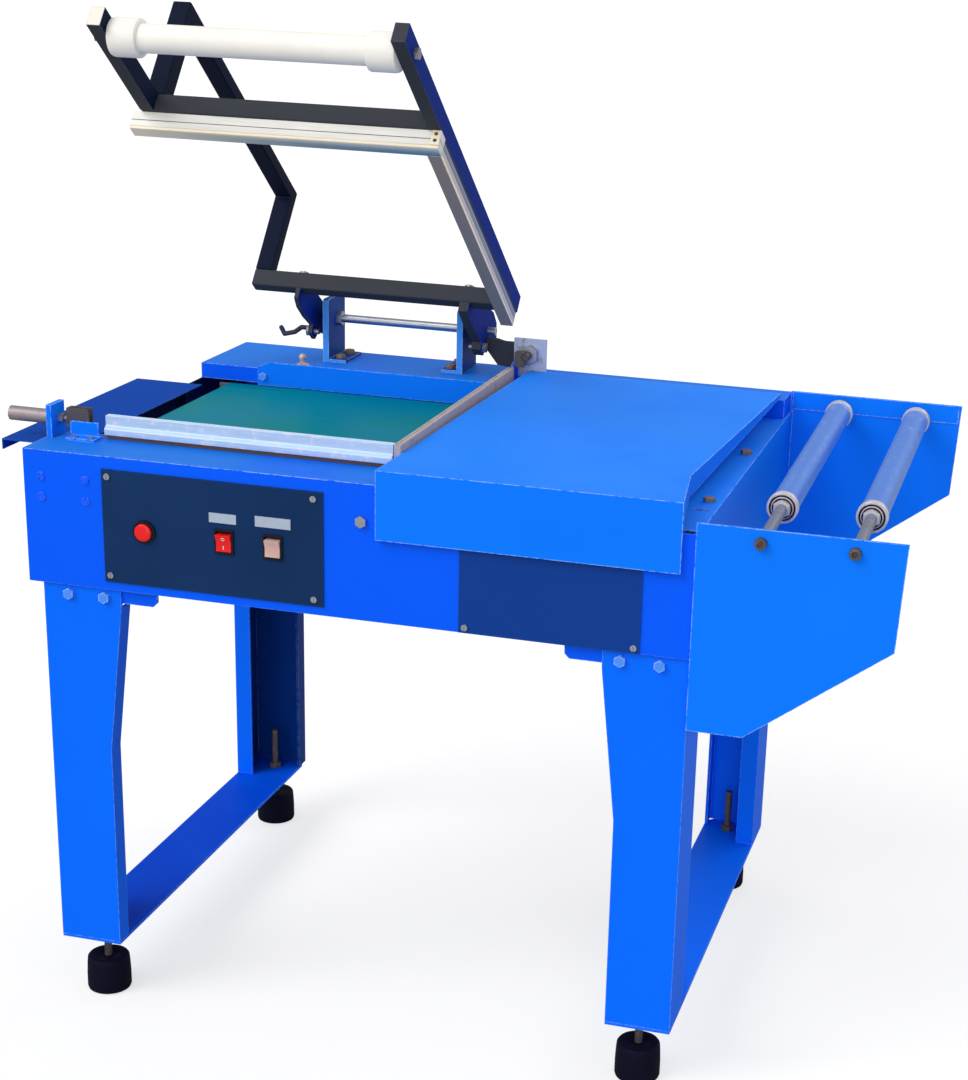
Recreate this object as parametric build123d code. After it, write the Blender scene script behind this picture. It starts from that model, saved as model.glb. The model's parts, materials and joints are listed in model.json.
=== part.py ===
from build123d import *
import math
import os

os.makedirs("parts", exist_ok=True)

# An L-bar sealer: a sheet metal cabinet on two skid legs, with a short belt
# conveyor in front of a hinged sealing arm, a raised work table on the right
# and a cradle with two rollers for the film reel at its right end.
# X runs along the front from left to right, Y runs to the back, Z runs up.
# Heights named *_UP are measured from the table top, everything else from the
# floor or from the front left corner of the cabinet.

# Driving sizes of the cabinet
TABLE_H = 751
BODY_L = 843
BODY_D = 652
BODY_H = 170
SHEET = 2
RIM_DROP = 18
RIM_W = 40
STEP_X = 480
FLANGE_W = 25
BACK_RIM = 30
PANEL_CUT_IN = 25
PANEL_CUT_TOP = 45
LEDGE_DROP = 60
VENT_X = 620
VENT_L = 90
VENT_H = 4
VENT_PITCH = 12
VENT_UP = -60
VENT_COUNT = 6
FIT = 0.3

# Screws and bolts
SCREW_R = 2
SCREW_HEAD_R = 4
SCREW_HEAD_H = 2
BOLT_R = 4
BOLT_AF = 13
BOLT_HEAD = 5.3
BOLT_NUT_H = 6.5
SMALL_BOLT_R = 3
SMALL_BOLT_AF = 10
SMALL_BOLT_HEAD = 4

# Exit tray
TRAY_LEFT = -62
TRAY_RIGHT = 38
TRAY_FRONT = 59
TRAY_UP = -8
TRAY_LIP = 14
TRAY_BRACKET_L = 45
TRAY_BRACKET_IN = 60

# Work table hood
HOOD_UP = 20
HOOD_LEFT_FRONT = 459.5
HOOD_LEFT_BACK = 474.5
HOOD_RIGHT_FRONT = BODY_L - 15
HOOD_RIGHT_KINK = BODY_L - 32
HOOD_RIGHT_BACK = BODY_L - 6
HOOD_KINK_Y = 112
HOOD_FRONT_Y = -8
HOOD_BACK_Y = BODY_D - 62
HOOD_SKIRT = 85
HOOD_SIDE_DEEP = 26
HOOD_SIDE_SHALLOW = 6

# Legs, skids and feet
LEG_LEFT = 17
LEG_RIGHT = BODY_L - 0.5
LEG_W = 83
LEG_TOP_W = 105
LEG_KINK_DROP = 218
LEG_SHOULDER = 24
LEG_DEPTH = 78
LEG_LIP = 25
LEG_WALL = 4
LEG_FRONT_Y = 4
SKID_UP = 85
SKID_WALL = 4
FOOT_R = 29
FOOT_H = 48
FOOT_INSET_X = 46
FOOT_INSET_Y = 36
STUD_R = 5
STUD_ABOVE = 63
NUT_AF = 17
NUT_H = 8
GUSSET_L = 152
GUSSET_H = 19
GUSSET_WALL = 4
GUSSET_CUT = 6
GUSSET_D = 36
LEG_BOLT_DROP = 12
LEG_BOLT_IN = 35
LEG_BOLT_PITCH = 48
LEG_BOLT_L = 18
LEG_NUT_H = 6
STUD_SUNK = 12
PAD_EDGE = 2.5
SKID_CORNER = 14

# Belt conveyor
BELT_UP = -14
BELT_LEFT = 42
BELT_RIGHT = 449
BELT_FRONT = 100
BELT_T = 1.5
BELT_EDGE_GAP = 4
DRUM_R = 19
DRUM_SHAFT_R = 6
CHEEK_T = 4
CHEEK_H = 48
CHEEK_LEFT_IN = 2
TIE_R = 6
TIE_IN = 128
BED_T = 2
PULLEY_R = 24
PULLEY_W = 14
PULLEY_GROOVE = 8
VBELT_TOP_W = 10
VBELT_LOW_W = 6
MOTOR_X = 348
MOTOR_DROP = 115
MOTOR_L = 139
MOTOR_R = 34
MOTOR_CAP_R = 28
MOTOR_CAP_L = 12
GEARBOX_W = 70
GEARBOX_D = 62
GEARBOX_EDGE = 8
HANGER_W = 84
HANGER_BELOW = 40

# Cover over the drive at the back
COVER_UP = 10.5
COVER_LEFT = 12
COVER_RIGHT = 449.5
COVER_FRONT = BODY_D - 160.5
COVER_OVER_BELT = 3
GUARD_T = 3
GUARD_LEFT = 100
GUARD_UP = 20.5
GUARD_CUT_L = 18
GUARD_CUT_H = 8
GUARD_BOLT_X = 109
GUARD_BOLT_UP = 13.5
STRIP_FRONT = BODY_D - 60
TRAY_BACK = COVER_FRONT - 54.5
BELT_BACK = COVER_FRONT - 4.5
BALL_X = 154
BALL_Y = COVER_FRONT + 33.5
BALL_R = 4.5
BALL_UP = 13
BALL_NECK_R = 3
BALL_BASE_R = 11
BALL_BASE_H = 5

# Sealing bars and jaws
BAR_T = 9
BAR_BASE_H = 5.5
BAR_UP = 30
BAR_LEFT = 72
BAR_FRONT = 79
BAR_SIDE_X = 451.5
BAR_BACK = STRIP_FRONT - 34
WIRE_R = 0.8
JAW_T = 18
JAW_BACK_R = 93
JAW_LEFT = 71.5
PAD_H = 4

# Arm, in its own plane: R counts forward from the hinge, H counts up
HINGE_Y = BODY_D - 45.5
JAW_FRONT_R = HINGE_Y - BAR_FRONT - 1.5
HINGE_UP = 68.5
ARM_OPEN = 39.1
TUBE_W = 17.5
TUBE_TOP = 11.5
TUBE_BOTTOM = -13.8
ARM_LEFT = 81
ARM_RIGHT_X = 453.7
FRONT_BAR_R = JAW_FRONT_R + 3
HINGE_BAR_R = 107
TUBE_DEEP = 19
NECK_H = 148.5
NECK_T = 18
NECK_W = 25
HANDLE_OUT = 133
PRONG_PAST = 36
HANDLE_R = FRONT_BAR_R + HANDLE_OUT
PRONG_R = HANDLE_R + PRONG_PAST
HANDLE_BOLT_R = 4
HANDLE_PIPE_IN = 12
HANDLE_H = -3
HANDLE_PIPE_R = 17
CAP_R = 23
CAP_L = 36
SHAFT_R = 6
SHAFT_PAST = 38
SHAFT_NUT_AF = 19
SHAFT_NUT_H = 8
BRACKET_T = 9
BRACKET_LEFT = 168
BRACKET_RIGHT = 371
BRACKET_FRONT = 38
BRACKET_BACK = 28
BRACKET_H = 91
BRACKET_EDGE = 6
BRACKET_BASE_H = 4.5
BRACKET_BOLT_IN = 22
BRACKET_BOLT_FRONT = 24
BRACKET_BOLT_BACK = 14
BRACKET_FOOT = 35
BRACKET_FOOT_R = 32
LUG_T = 6
LUG_WIDE_T = 14
LUG_GAP = 12
STOP_BOLT_PAST = 7
LEVER_T = 6
HOOK_R = 3.5
CARRIAGE_R = 8
CARRIAGE_H = 3
CORNER_T = 9
CORNER_L = 34
CORNER_LOW = 10
CORNER_HIGH = 8

# Film cradle
CRADLE_X = BODY_L + FIT
CRADLE_W = 239.7
CRADLE_END = CRADLE_X + CRADLE_W
CRADLE_T = 3
CRADLE_FRONT = -5
CRADLE_BACK = BODY_D + 1
CRADLE_TOP = -2.5
CRADLE_RISE = 14
CRADLE_SIDE_H = 128
CRADLE_DEEP = 253
CRADLE_FOOT_W = 67
CRADLE_HEM = 25
ROLLER_R = 17
ROLLER_X1 = CRADLE_X + 74.7
ROLLER_X2 = CRADLE_X + 181.2
ROLLER_DROP = 15.5
ROLLER_START = 134
ROLLER_END = CRADLE_BACK - 43
ROLLER_WALL = 3
AXLE_R = 7
BEARING_R = 19
BEARING_W = 10
AXLE_RUN = 0.05
CRADLE_BOLT_IN = 13
CRADLE_BOLT_FRONT = 134.5
CRADLE_BOLT_BACK = BODY_D - 30.5
CRADLE_BOLT_PITCH = (CRADLE_BOLT_BACK - CRADLE_BOLT_FRONT) / 2

# Panels and switches on the front
PANEL_LEFT = 105
PANEL_RIGHT = 392
PANEL_TOP = -15.5
PANEL_BOTTOM = -159
PANEL_T = 2
BUTTON_X = 160.5
BUTTON_Z = -89
BUTTON_R = 11
BUTTON_TRAVEL = 3
ROCKER_X1 = 265
ROCKER_X2 = 328
ROCKER_Z = -90
BEZEL_W = 25
BEZEL_H = 31
ROCKER_W = 20
ROCKER_H = 25
ROCKER_TILT = 9
LABEL_T = 1
DOOR_LEFT = 562
DOOR_RIGHT = BODY_L - 60
DOOR_TOP = -62
DOOR_BOTTOM = -169.5

# Wire tensioners
TENSION_UP = 20
TENSION_R = 3
SPRING_TUBE_R = 9.25
SPRING_TUBE_BORE = 6.5
SPRING_TUBE_L = 60
TENSION_PLATE_T = 7
TENSION_PLATE_UP = 40
CLAMP_LEFT = 20
CLAMP_L = 30
CLAMP_W = 13
CLAMP_LOW = 12
CLAMP_UP = 35
ANGLE_LEFT = 30
ANGLE_L = 38
ANGLE_FRONT = 54
ANGLE_UP = 20
SIDE_ROD_X = 473
SIDE_ROD_UP = 43
SIDE_ROD_R = 5
SIDE_PLATE_W = 48
SIDE_PLATE_T = 4
SIDE_PLATE_UP = 65

# Transformer
CORE_X = 600
CORE_L = 90
CORE_Y = 300
CORE_D = 70
CORE_H = 80
CORE_PLATE_H = 4
CORE_PLATE_OUT = 10
COIL_IN = 12
COIL_T = 15
COIL_LOW = 24
COIL_H = 46

LEG_TOP = TABLE_H - BODY_H
SKID_TOP = SKID_UP + SKID_WALL
leg_bolt_z = LEG_TOP - LEG_BOLT_DROP


def block(x0, x1, y0, y1, z0, z1):
    """Box between two corners."""
    return Pos((x0 + x1) / 2, (y0 + y1) / 2, (z0 + z1) / 2) * Box(x1 - x0, y1 - y0, z1 - z0)


def plate_xy(points, z0, z1):
    """Flat outline in plan, standing from z0 to z1."""
    return extrude(Plane((0, 0, z0)) * make_face(Polyline(*points, close=True)), z1 - z0)


def plate_xz(points, y0, y1):
    """Flat outline seen from the front, from y0 back to y1."""
    plane = Plane((0, y1, 0), x_dir=(1, 0, 0), z_dir=(0, -1, 0))
    return extrude(plane * make_face(Polyline(*points, close=True)), y1 - y0)


def plate_yz(points, x0, x1):
    """Flat outline seen from the right, from x0 to x1."""
    plane = Plane((x0, 0, 0), x_dir=(0, 1, 0), z_dir=(1, 0, 0))
    return extrude(plane * make_face(Polyline(*points, close=True)), x1 - x0)


def rod(start, end, radius):
    """Round bar between two points."""
    axis = Vector(*end) - Vector(*start)
    plane = Plane(origin=start, z_dir=axis)
    return plane.location * Cylinder(radius, axis.length, align=(Align.CENTER, Align.CENTER, Align.MIN))


def tube(start, end, outer, inner):
    """Round tube between two points."""
    return rod(start, end, outer) - rod(start, end, inner)


def seated(shape, point, direction):
    """Moves a shape that stands on z = 0 to a point, facing a direction."""
    return Plane(origin=point, z_dir=direction).location * shape


def hexagon(flats, height):
    """Hexagonal prism on z = 0."""
    return extrude(RegularPolygon(flats / 2, 6, major_radius=False), height)


def hex_bolt(radius, flats, head_h, length):
    """Hexagon head on z = 0 with its shank below."""
    return hexagon(flats, head_h) + Pos(0, 0, -length / 2) * Cylinder(radius, length)


def hex_nut(radius, flats, height):
    """Hexagon nut on z = 0."""
    return hexagon(flats, height) - Pos(0, 0, height / 2) * Cylinder(radius, height * 2)


def pan_screw(radius, head_r, head_h, length):
    """Low round head on z = 0 with its shank below and one slot."""
    head = Pos(0, 0, head_h / 2) * Cylinder(head_r, head_h)
    slot = Pos(0, 0, head_h) * Box(head_r * 3, head_r / 4, head_h)
    return head - slot + Pos(0, 0, -length / 2) * Cylinder(radius, length)


def socket_bolt(radius, head_r, head_h, length):
    """Cap screw with a hexagon socket."""
    head = Pos(0, 0, head_h / 2) * Cylinder(head_r, head_h)
    socket = Pos(0, 0, head_h / 2) * hexagon(head_r, head_h)
    return head - socket + Pos(0, 0, -length / 2) * Cylinder(radius, length)


def up(height):
    """Height above the floor of a height above the table top."""
    return TABLE_H + height


nodes = {}


def keep(name, *solids):
    """Adds solids to a named sub-part."""
    nodes.setdefault(name, []).extend(solids)


# Places that several pieces share
body_low = up(-BODY_H)
rim = up(-RIM_DROP)
belt_top = up(BELT_UP)
drum_z = belt_top - BELT_T - DRUM_R - FIT
drum_reach = DRUM_R + FIT + BELT_T
idler_x = BELT_LEFT + drum_reach
drive_x = BELT_RIGHT - drum_reach
cheek_front = BELT_FRONT - BELT_EDGE_GAP - CHEEK_T
cheek_back = BELT_BACK + BELT_EDGE_GAP
cheek_left = BELT_LEFT - CHEEK_LEFT_IN
motor_z = up(-MOTOR_DROP)
motor_front = cheek_back - GEARBOX_D - MOTOR_L
pulley_front = cheek_back + CHEEK_T + 4
pulley_back = pulley_front + PULLEY_W
window_front = BELT_FRONT - 2
window_back = BODY_D - BACK_RIM
cover_low = belt_top + COVER_OVER_BELT
guard_bolt_z = belt_top + GUARD_BOLT_UP
cover_top = up(COVER_UP)
hinge_z = up(HINGE_UP)
bar_low = up(BAR_BASE_H)
bar_top = up(BAR_UP)
bar_back_y = BAR_FRONT + BAR_T
bar_middle_y = BAR_FRONT + BAR_T / 2
shaft_ends = (BRACKET_LEFT - SHAFT_PAST, BRACKET_RIGHT + BRACKET_T + SHAFT_PAST)
bracket_bolt_xs = (BRACKET_LEFT + BRACKET_BOLT_IN, BRACKET_RIGHT + BRACKET_T - BRACKET_BOLT_IN)
bracket_bolt_ys = (HINGE_Y - BRACKET_BOLT_FRONT, HINGE_Y + BRACKET_BOLT_BACK)
foot_ys = (LEG_FRONT_Y + FOOT_INSET_Y, BODY_D - FOOT_INSET_Y)
rocker_pivot_y = 3
plate_top = up(CRADLE_TOP)
axle_front_z = plate_top - ROLLER_DROP
axle_slope = CRADLE_RISE / (CRADLE_BACK - CRADLE_FRONT)
panel_face = -PANEL_T
cradle_bolts_at = [(BODY_L - CRADLE_BOLT_IN, CRADLE_BOLT_FRONT + CRADLE_BOLT_PITCH * i) for i in range(3)]
screw_marks = [(x, z) for x in (23, 82.5) for z in (-33, -59)]
panel_corners = [(x, z) for x in (PANEL_LEFT + 8, PANEL_RIGHT - 12)
                 for z in (PANEL_TOP - 9, PANEL_BOTTOM + 9)]
door_corners = [(DOOR_LEFT + 8, DOOR_BOTTOM + 7), (DOOR_RIGHT - 7, DOOR_BOTTOM + 7)]
front_bolt_x = 440
front_bolt_z = up(-46)


def cabinet():
    """Sheet metal body: table level on the left, a lower rim under the hood."""
    left = block(0, STEP_X, 0, BODY_D, body_low, TABLE_H)
    right = block(STEP_X, BODY_L, 0, BODY_D, body_low, rim)
    back_wall = block(STEP_X, BODY_L, BODY_D - SHEET, BODY_D, rim, TABLE_H)
    bay_left = block(SHEET, STEP_X - SHEET, SHEET, BODY_D - SHEET, body_low + SHEET, TABLE_H - SHEET)
    bay_right = block(STEP_X, BODY_L - SHEET, SHEET, BODY_D - SHEET, body_low + SHEET, rim - SHEET)
    body = left + right + back_wall - bay_left - bay_right
    for x0, x1 in ((0, STEP_X), (STEP_X, BODY_L)):
        body = body - block(x0 + FLANGE_W, x1 - FLANGE_W, FLANGE_W, BODY_D - FLANGE_W,
                            body_low - 1, body_low + SHEET + 1)
    body = body - block(COVER_LEFT, BAR_SIDE_X - 1.5, window_front, window_back, up(-SHEET - 1), up(1))
    body = body - block(-1, COVER_LEFT + 1, TRAY_FRONT, TRAY_BACK, up(TRAY_UP - SHEET), up(1))
    body = body - block(STEP_X + 4, BODY_L - RIM_W, RIM_W, BODY_D - 66, rim - SHEET - 1, rim + 1)
    body = body - block(PANEL_LEFT + PANEL_CUT_IN, PANEL_RIGHT - PANEL_CUT_IN, -1, SHEET + 1,
                        up(PANEL_BOTTOM + PANEL_CUT_IN), up(PANEL_TOP - PANEL_CUT_TOP))
    body = side_recess(body)
    for x, z in panel_corners + door_corners + screw_marks:
        body = body - rod((x, -1, up(z)), (x, SHEET + 1, up(z)), SCREW_R + FIT)
    body = body - rod((front_bolt_x, -1, front_bolt_z), (front_bolt_x, SHEET + 1, front_bolt_z), BOLT_R + FIT)
    for x, y in cradle_bolts_at:
        body = body - rod((x, y, rim - SHEET - 1), (x, y, rim + 1), BOLT_R + FIT)
    for i in range(VENT_COUNT):
        low = up(VENT_UP - VENT_PITCH * i)
        body = body - block(VENT_X, VENT_X + VENT_L, BODY_D - SHEET - 1, BODY_D + 1, low, low + VENT_H)
    return body


def side_recess(body):
    """Sets the left wall in beside the drive cover, over a narrow ledge."""
    ledge = up(-LEDGE_DROP)
    inner = COVER_LEFT + SHEET
    body = body - block(-1, COVER_LEFT, TRAY_BACK, BODY_D + 1, ledge, up(1))
    body = body + block(0, inner, TRAY_BACK, BODY_D, ledge - SHEET, ledge)
    body = body + block(0, inner, TRAY_BACK - SHEET, TRAY_BACK, ledge - SHEET, up(TRAY_UP - SHEET))
    body = body + block(COVER_LEFT, inner, TRAY_BACK, BODY_D, ledge, cover_low)
    return body + block(COVER_LEFT, inner, window_back, BODY_D, cover_low, TABLE_H)


def exit_tray():
    """Flat outfeed plate with a turned down outer edge."""
    plate = block(TRAY_LEFT, TRAY_RIGHT, TRAY_FRONT + FIT, TRAY_BACK - FIT, up(TRAY_UP - SHEET), up(TRAY_UP))
    lip = block(TRAY_LEFT, TRAY_LEFT + SHEET, TRAY_FRONT + FIT, TRAY_BACK - FIT,
                up(TRAY_UP - TRAY_LIP), up(TRAY_UP - SHEET))
    return plate + lip


def tray_bracket(y):
    """Angle under the tray, fixed to the left wall."""
    top = up(TRAY_UP - SHEET)
    reach = TRAY_BRACKET_L
    points = [(0, top), (-reach, top), (-reach, top - 3), (-3, top - reach), (0, top - reach)]
    return plate_xz(points, y, y + 3)


def rear_cover():
    """Drive cover: a deep part beside the belt and a narrow strip behind the hood."""
    outline = [(COVER_LEFT, COVER_FRONT), (COVER_RIGHT, COVER_FRONT), (COVER_RIGHT, STRIP_FRONT),
               (BODY_L, STRIP_FRONT), (BODY_L, BODY_D), (COVER_LEFT, BODY_D)]
    top = plate_xy(outline, cover_top - SHEET, cover_top)
    front = block(COVER_LEFT, COVER_RIGHT, COVER_FRONT, COVER_FRONT + SHEET, cover_low, cover_top)
    side = block(COVER_LEFT, COVER_LEFT + SHEET, COVER_FRONT, window_back, cover_low, cover_top)
    side = side + block(COVER_LEFT, COVER_LEFT + SHEET, window_back - 1, BODY_D, TABLE_H, cover_top)
    back = block(COVER_LEFT, BODY_L, BODY_D - SHEET, BODY_D, TABLE_H, cover_top)
    end = block(BODY_L - SHEET, BODY_L, STRIP_FRONT, BODY_D, rim, cover_top)
    end = end - block(BODY_L - SHEET - 1, BODY_L + 1, BODY_D - SHEET, BODY_D + 1, rim - 1, TABLE_H)
    strip = block(STEP_X, BODY_L, STRIP_FRONT, STRIP_FRONT + SHEET, rim, cover_top)
    strip = strip + block(COVER_RIGHT, STEP_X, STRIP_FRONT, STRIP_FRONT + SHEET, TABLE_H, cover_top)
    cover = top + front + side + back + end + strip
    for x in bracket_bolt_xs:
        for y in bracket_bolt_ys:
            cover = cover - rod((x, y, cover_top - 3), (x, y, cover_top + 1), BOLT_R + FIT)
    cover = cover - rod((BALL_X, BALL_Y, cover_top - 3), (BALL_X, BALL_Y, cover_top + 1), BALL_NECK_R + FIT)
    return cover - guard_bolt_hole()


def guard_bolt_hole():
    """Bore for the guard's bolt through the guard and the cover's front."""
    start = (GUARD_BOLT_X, COVER_FRONT - GUARD_T - 1, guard_bolt_z)
    return rod(start, (GUARD_BOLT_X, COVER_FRONT + SHEET + 1, guard_bolt_z), SMALL_BOLT_R + FIT)


def guard_plate():
    """Upright plate along the back edge of the belt."""
    low = belt_top + 0.5
    points = [(GUARD_LEFT, low), (COVER_RIGHT, low), (COVER_RIGHT, up(GUARD_UP)),
              (GUARD_LEFT + GUARD_CUT_L, up(GUARD_UP)), (GUARD_LEFT, up(GUARD_UP - GUARD_CUT_H))]
    return plate_xz(points, COVER_FRONT - GUARD_T, COVER_FRONT) - guard_bolt_hole()


def work_table():
    """Raised hood whose right edge steps in behind the front and runs out again."""
    top_z = up(HOOD_UP)
    outline = [(HOOD_LEFT_FRONT, HOOD_FRONT_Y), (HOOD_RIGHT_FRONT, HOOD_FRONT_Y),
               (HOOD_RIGHT_KINK, HOOD_KINK_Y), (HOOD_RIGHT_BACK, HOOD_BACK_Y), (HOOD_LEFT_BACK, HOOD_BACK_Y)]
    top = plate_xy(outline, top_z - SHEET, top_z)
    low = top_z - HOOD_SKIRT
    skirt = block(HOOD_LEFT_FRONT, HOOD_RIGHT_FRONT, HOOD_FRONT_Y, HOOD_FRONT_Y + SHEET, low, top_z)
    ends = block(HOOD_LEFT_FRONT, HOOD_LEFT_FRONT + SHEET, HOOD_FRONT_Y, -FIT, low, top_z)
    ends = ends + block(HOOD_RIGHT_FRONT - SHEET, HOOD_RIGHT_FRONT, HOOD_FRONT_Y, -FIT, low, top_z)
    left = plate_xy([(HOOD_LEFT_FRONT, HOOD_FRONT_Y), (HOOD_LEFT_FRONT + SHEET, HOOD_FRONT_Y),
                     (HOOD_LEFT_BACK + SHEET, HOOD_BACK_Y), (HOOD_LEFT_BACK, HOOD_BACK_Y)], TABLE_H, top_z)
    back = block(STEP_X + 6, BODY_L - RIM_W, HOOD_BACK_Y - SHEET, HOOD_BACK_Y, rim, top_z)
    corner = plate_xy([(HOOD_RIGHT_FRONT - SHEET, HOOD_FRONT_Y), (HOOD_RIGHT_FRONT, HOOD_FRONT_Y),
                       (HOOD_RIGHT_KINK, HOOD_KINK_Y), (HOOD_RIGHT_KINK - SHEET, HOOD_KINK_Y)],
                      top_z - HOOD_SIDE_DEEP, top_z)
    side = plate_xy([(HOOD_RIGHT_KINK - SHEET, HOOD_KINK_Y), (HOOD_RIGHT_KINK, HOOD_KINK_Y),
                     (HOOD_RIGHT_BACK, HOOD_BACK_Y), (HOOD_RIGHT_BACK - SHEET, HOOD_BACK_Y)],
                    top_z - HOOD_SIDE_DEEP, top_z)
    taper = plate_yz([(HOOD_KINK_Y, top_z - HOOD_SIDE_DEEP), (HOOD_BACK_Y + 1, top_z - HOOD_SIDE_SHALLOW),
                      (HOOD_BACK_Y + 1, top_z - HOOD_SKIRT), (HOOD_KINK_Y, top_z - HOOD_SKIRT)],
                     HOOD_RIGHT_KINK - 10, HOOD_RIGHT_BACK + 10)
    return top + skirt + ends + left + back + corner + (side - taper)


def film_cradle():
    """Bent sheet: a flange on the rim, a wall down and a plate at each end."""
    wall_in = CRADLE_X + CRADLE_T

    def end_plate(y0, lift):
        top = plate_top + lift
        points = [(CRADLE_X, top), (CRADLE_END, top), (CRADLE_END - 6, top - CRADLE_SIDE_H),
                  (CRADLE_X + CRADLE_FOOT_W, top - CRADLE_DEEP), (CRADLE_X, top - CRADLE_DEEP)]
        return plate_xz(points, y0, y0 + CRADLE_T)

    front = end_plate(CRADLE_FRONT, 0)
    back = end_plate(CRADLE_BACK - CRADLE_T, CRADLE_RISE)
    low = plate_top - CRADLE_DEEP
    wall = block(CRADLE_X, wall_in, CRADLE_FRONT, CRADLE_BACK, low, rim + SHEET)
    flange = block(BODY_L - RIM_W + 2, wall_in, 10, BODY_D - 62, rim, rim + SHEET)
    hem = block(wall_in, CRADLE_END - 4, CRADLE_BACK - CRADLE_T - 1.5, CRADLE_BACK - CRADLE_T,
                plate_top + CRADLE_RISE - CRADLE_HEM, plate_top + CRADLE_RISE)
    cradle = front + back + wall + flange + hem
    for x, y in cradle_bolts_at:
        cradle = cradle - rod((x, y, rim - 1), (x, y, rim + SHEET + 1), BOLT_R + FIT)
    slot = SlotCenterToCenter(14, 8)
    cradle = cradle - extrude(Plane((828, 96, rim - 1)) * slot, SHEET + 2)
    for x in (ROLLER_X1, ROLLER_X2):
        start, end = axle_line(x, CRADLE_FRONT - 1, CRADLE_BACK + 1)
        cradle = cradle - rod(start, end, BOLT_R + FIT)
    return cradle


def axle_line(x, y0, y1):
    """Two points on a roller's axis, which climbs a little to the back."""
    z0 = axle_front_z + (y0 - CRADLE_FRONT) * axle_slope
    z1 = axle_front_z + (y1 - CRADLE_FRONT) * axle_slope
    return (x, y0, z0), (x, y1, z1)


def film_roller(x, name):
    """Idle roller: fixed axle, a bearing cup at each end and a plain tube."""
    axle = rod(*axle_line(x, CRADLE_FRONT + CRADLE_T + 0.3, CRADLE_BACK - CRADLE_T - 1.8), AXLE_R)
    for y0, y1 in ((CRADLE_FRONT, CRADLE_FRONT + 22), (CRADLE_BACK - 22, CRADLE_BACK)):
        axle = axle - rod(*axle_line(x, y0, y1), BOLT_R + AXLE_RUN)
    keep("film_axles", axle)
    for y0, y1 in ((ROLLER_START, ROLLER_START + BEARING_W), (ROLLER_END - BEARING_W, ROLLER_END)):
        keep(name + "_bearings", tube(*axle_line(x, y0, y1), BEARING_R, AXLE_R + AXLE_RUN))
    start, end = axle_line(x, ROLLER_START + BEARING_W, ROLLER_END - BEARING_W)
    keep(name, tube(start, end, ROLLER_R, ROLLER_R - ROLLER_WALL))
    axis = Vector(*end) - Vector(*start)
    front, back = axle_line(x, CRADLE_FRONT, CRADLE_BACK)
    tilt_gap = axis.normalized() * (7 * axle_slope + 0.02)
    keep("cradle_bolts", seated(socket_bolt(BOLT_R, 7, 7, 20), Vector(*front) - tilt_gap, -axis))
    keep("cradle_bolts", seated(hex_bolt(BOLT_R, BOLT_AF, BOLT_HEAD, 20), Vector(*back) + tilt_gap, axis))


def leg(outer_x, side, front):
    """Tapered channel with its web to the front or back and a lip on the outer flange."""
    inner = outer_x + side * LEG_W
    inner_top = outer_x + side * LEG_TOP_W
    kink = LEG_TOP - LEG_KINK_DROP
    shoulder = LEG_TOP - LEG_SHOULDER
    y0 = LEG_FRONT_Y if front else BODY_D - LEG_WALL
    web = plate_xz([(outer_x, SKID_TOP), (inner, SKID_TOP), (inner, kink), (inner_top, shoulder),
                    (inner_top, LEG_TOP), (outer_x, LEG_TOP)], y0, y0 + LEG_WALL)
    depth = LEG_DEPTH if front else -LEG_DEPTH
    y_wall = y0 if front else y0 + LEG_WALL
    y_far = y_wall + depth
    y_lip = y_far - math.copysign(LEG_WALL, depth)
    flange_in = outer_x + side * LEG_WALL
    flange = span_block(outer_x, flange_in, y_wall, y_far, SKID_TOP, LEG_TOP)
    lip = span_block(outer_x, outer_x + side * LEG_LIP, y_lip, y_far, SKID_TOP, LEG_TOP)
    y_inner = y_wall + math.copysign(LEG_LIP, depth)
    wall = side * LEG_WALL
    stiffener = plate_xz([(inner - wall, SKID_TOP), (inner, SKID_TOP), (inner, kink), (inner_top, shoulder),
                          (inner_top - wall, shoulder), (inner - wall, kink)],
                         min(y_wall, y_inner), max(y_wall, y_inner))
    shape = web + flange + lip + stiffener
    for x in leg_bolt_xs(outer_x, side):
        shape = shape - rod((x, y0 - 1, leg_bolt_z), (x, y0 + LEG_WALL + 1, leg_bolt_z), BOLT_R + FIT)
    return shape


def span_block(xa, xb, ya, yb, z0, z1):
    """Box between corners given in any order."""
    return block(min(xa, xb), max(xa, xb), min(ya, yb), max(ya, yb), z0, z1)


def leg_bolt_xs(outer_x, side):
    """Places of the two bolts at the top of a leg."""
    return [outer_x + side * (LEG_BOLT_IN + LEG_BOLT_PITCH * i) for i in range(2)]


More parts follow.
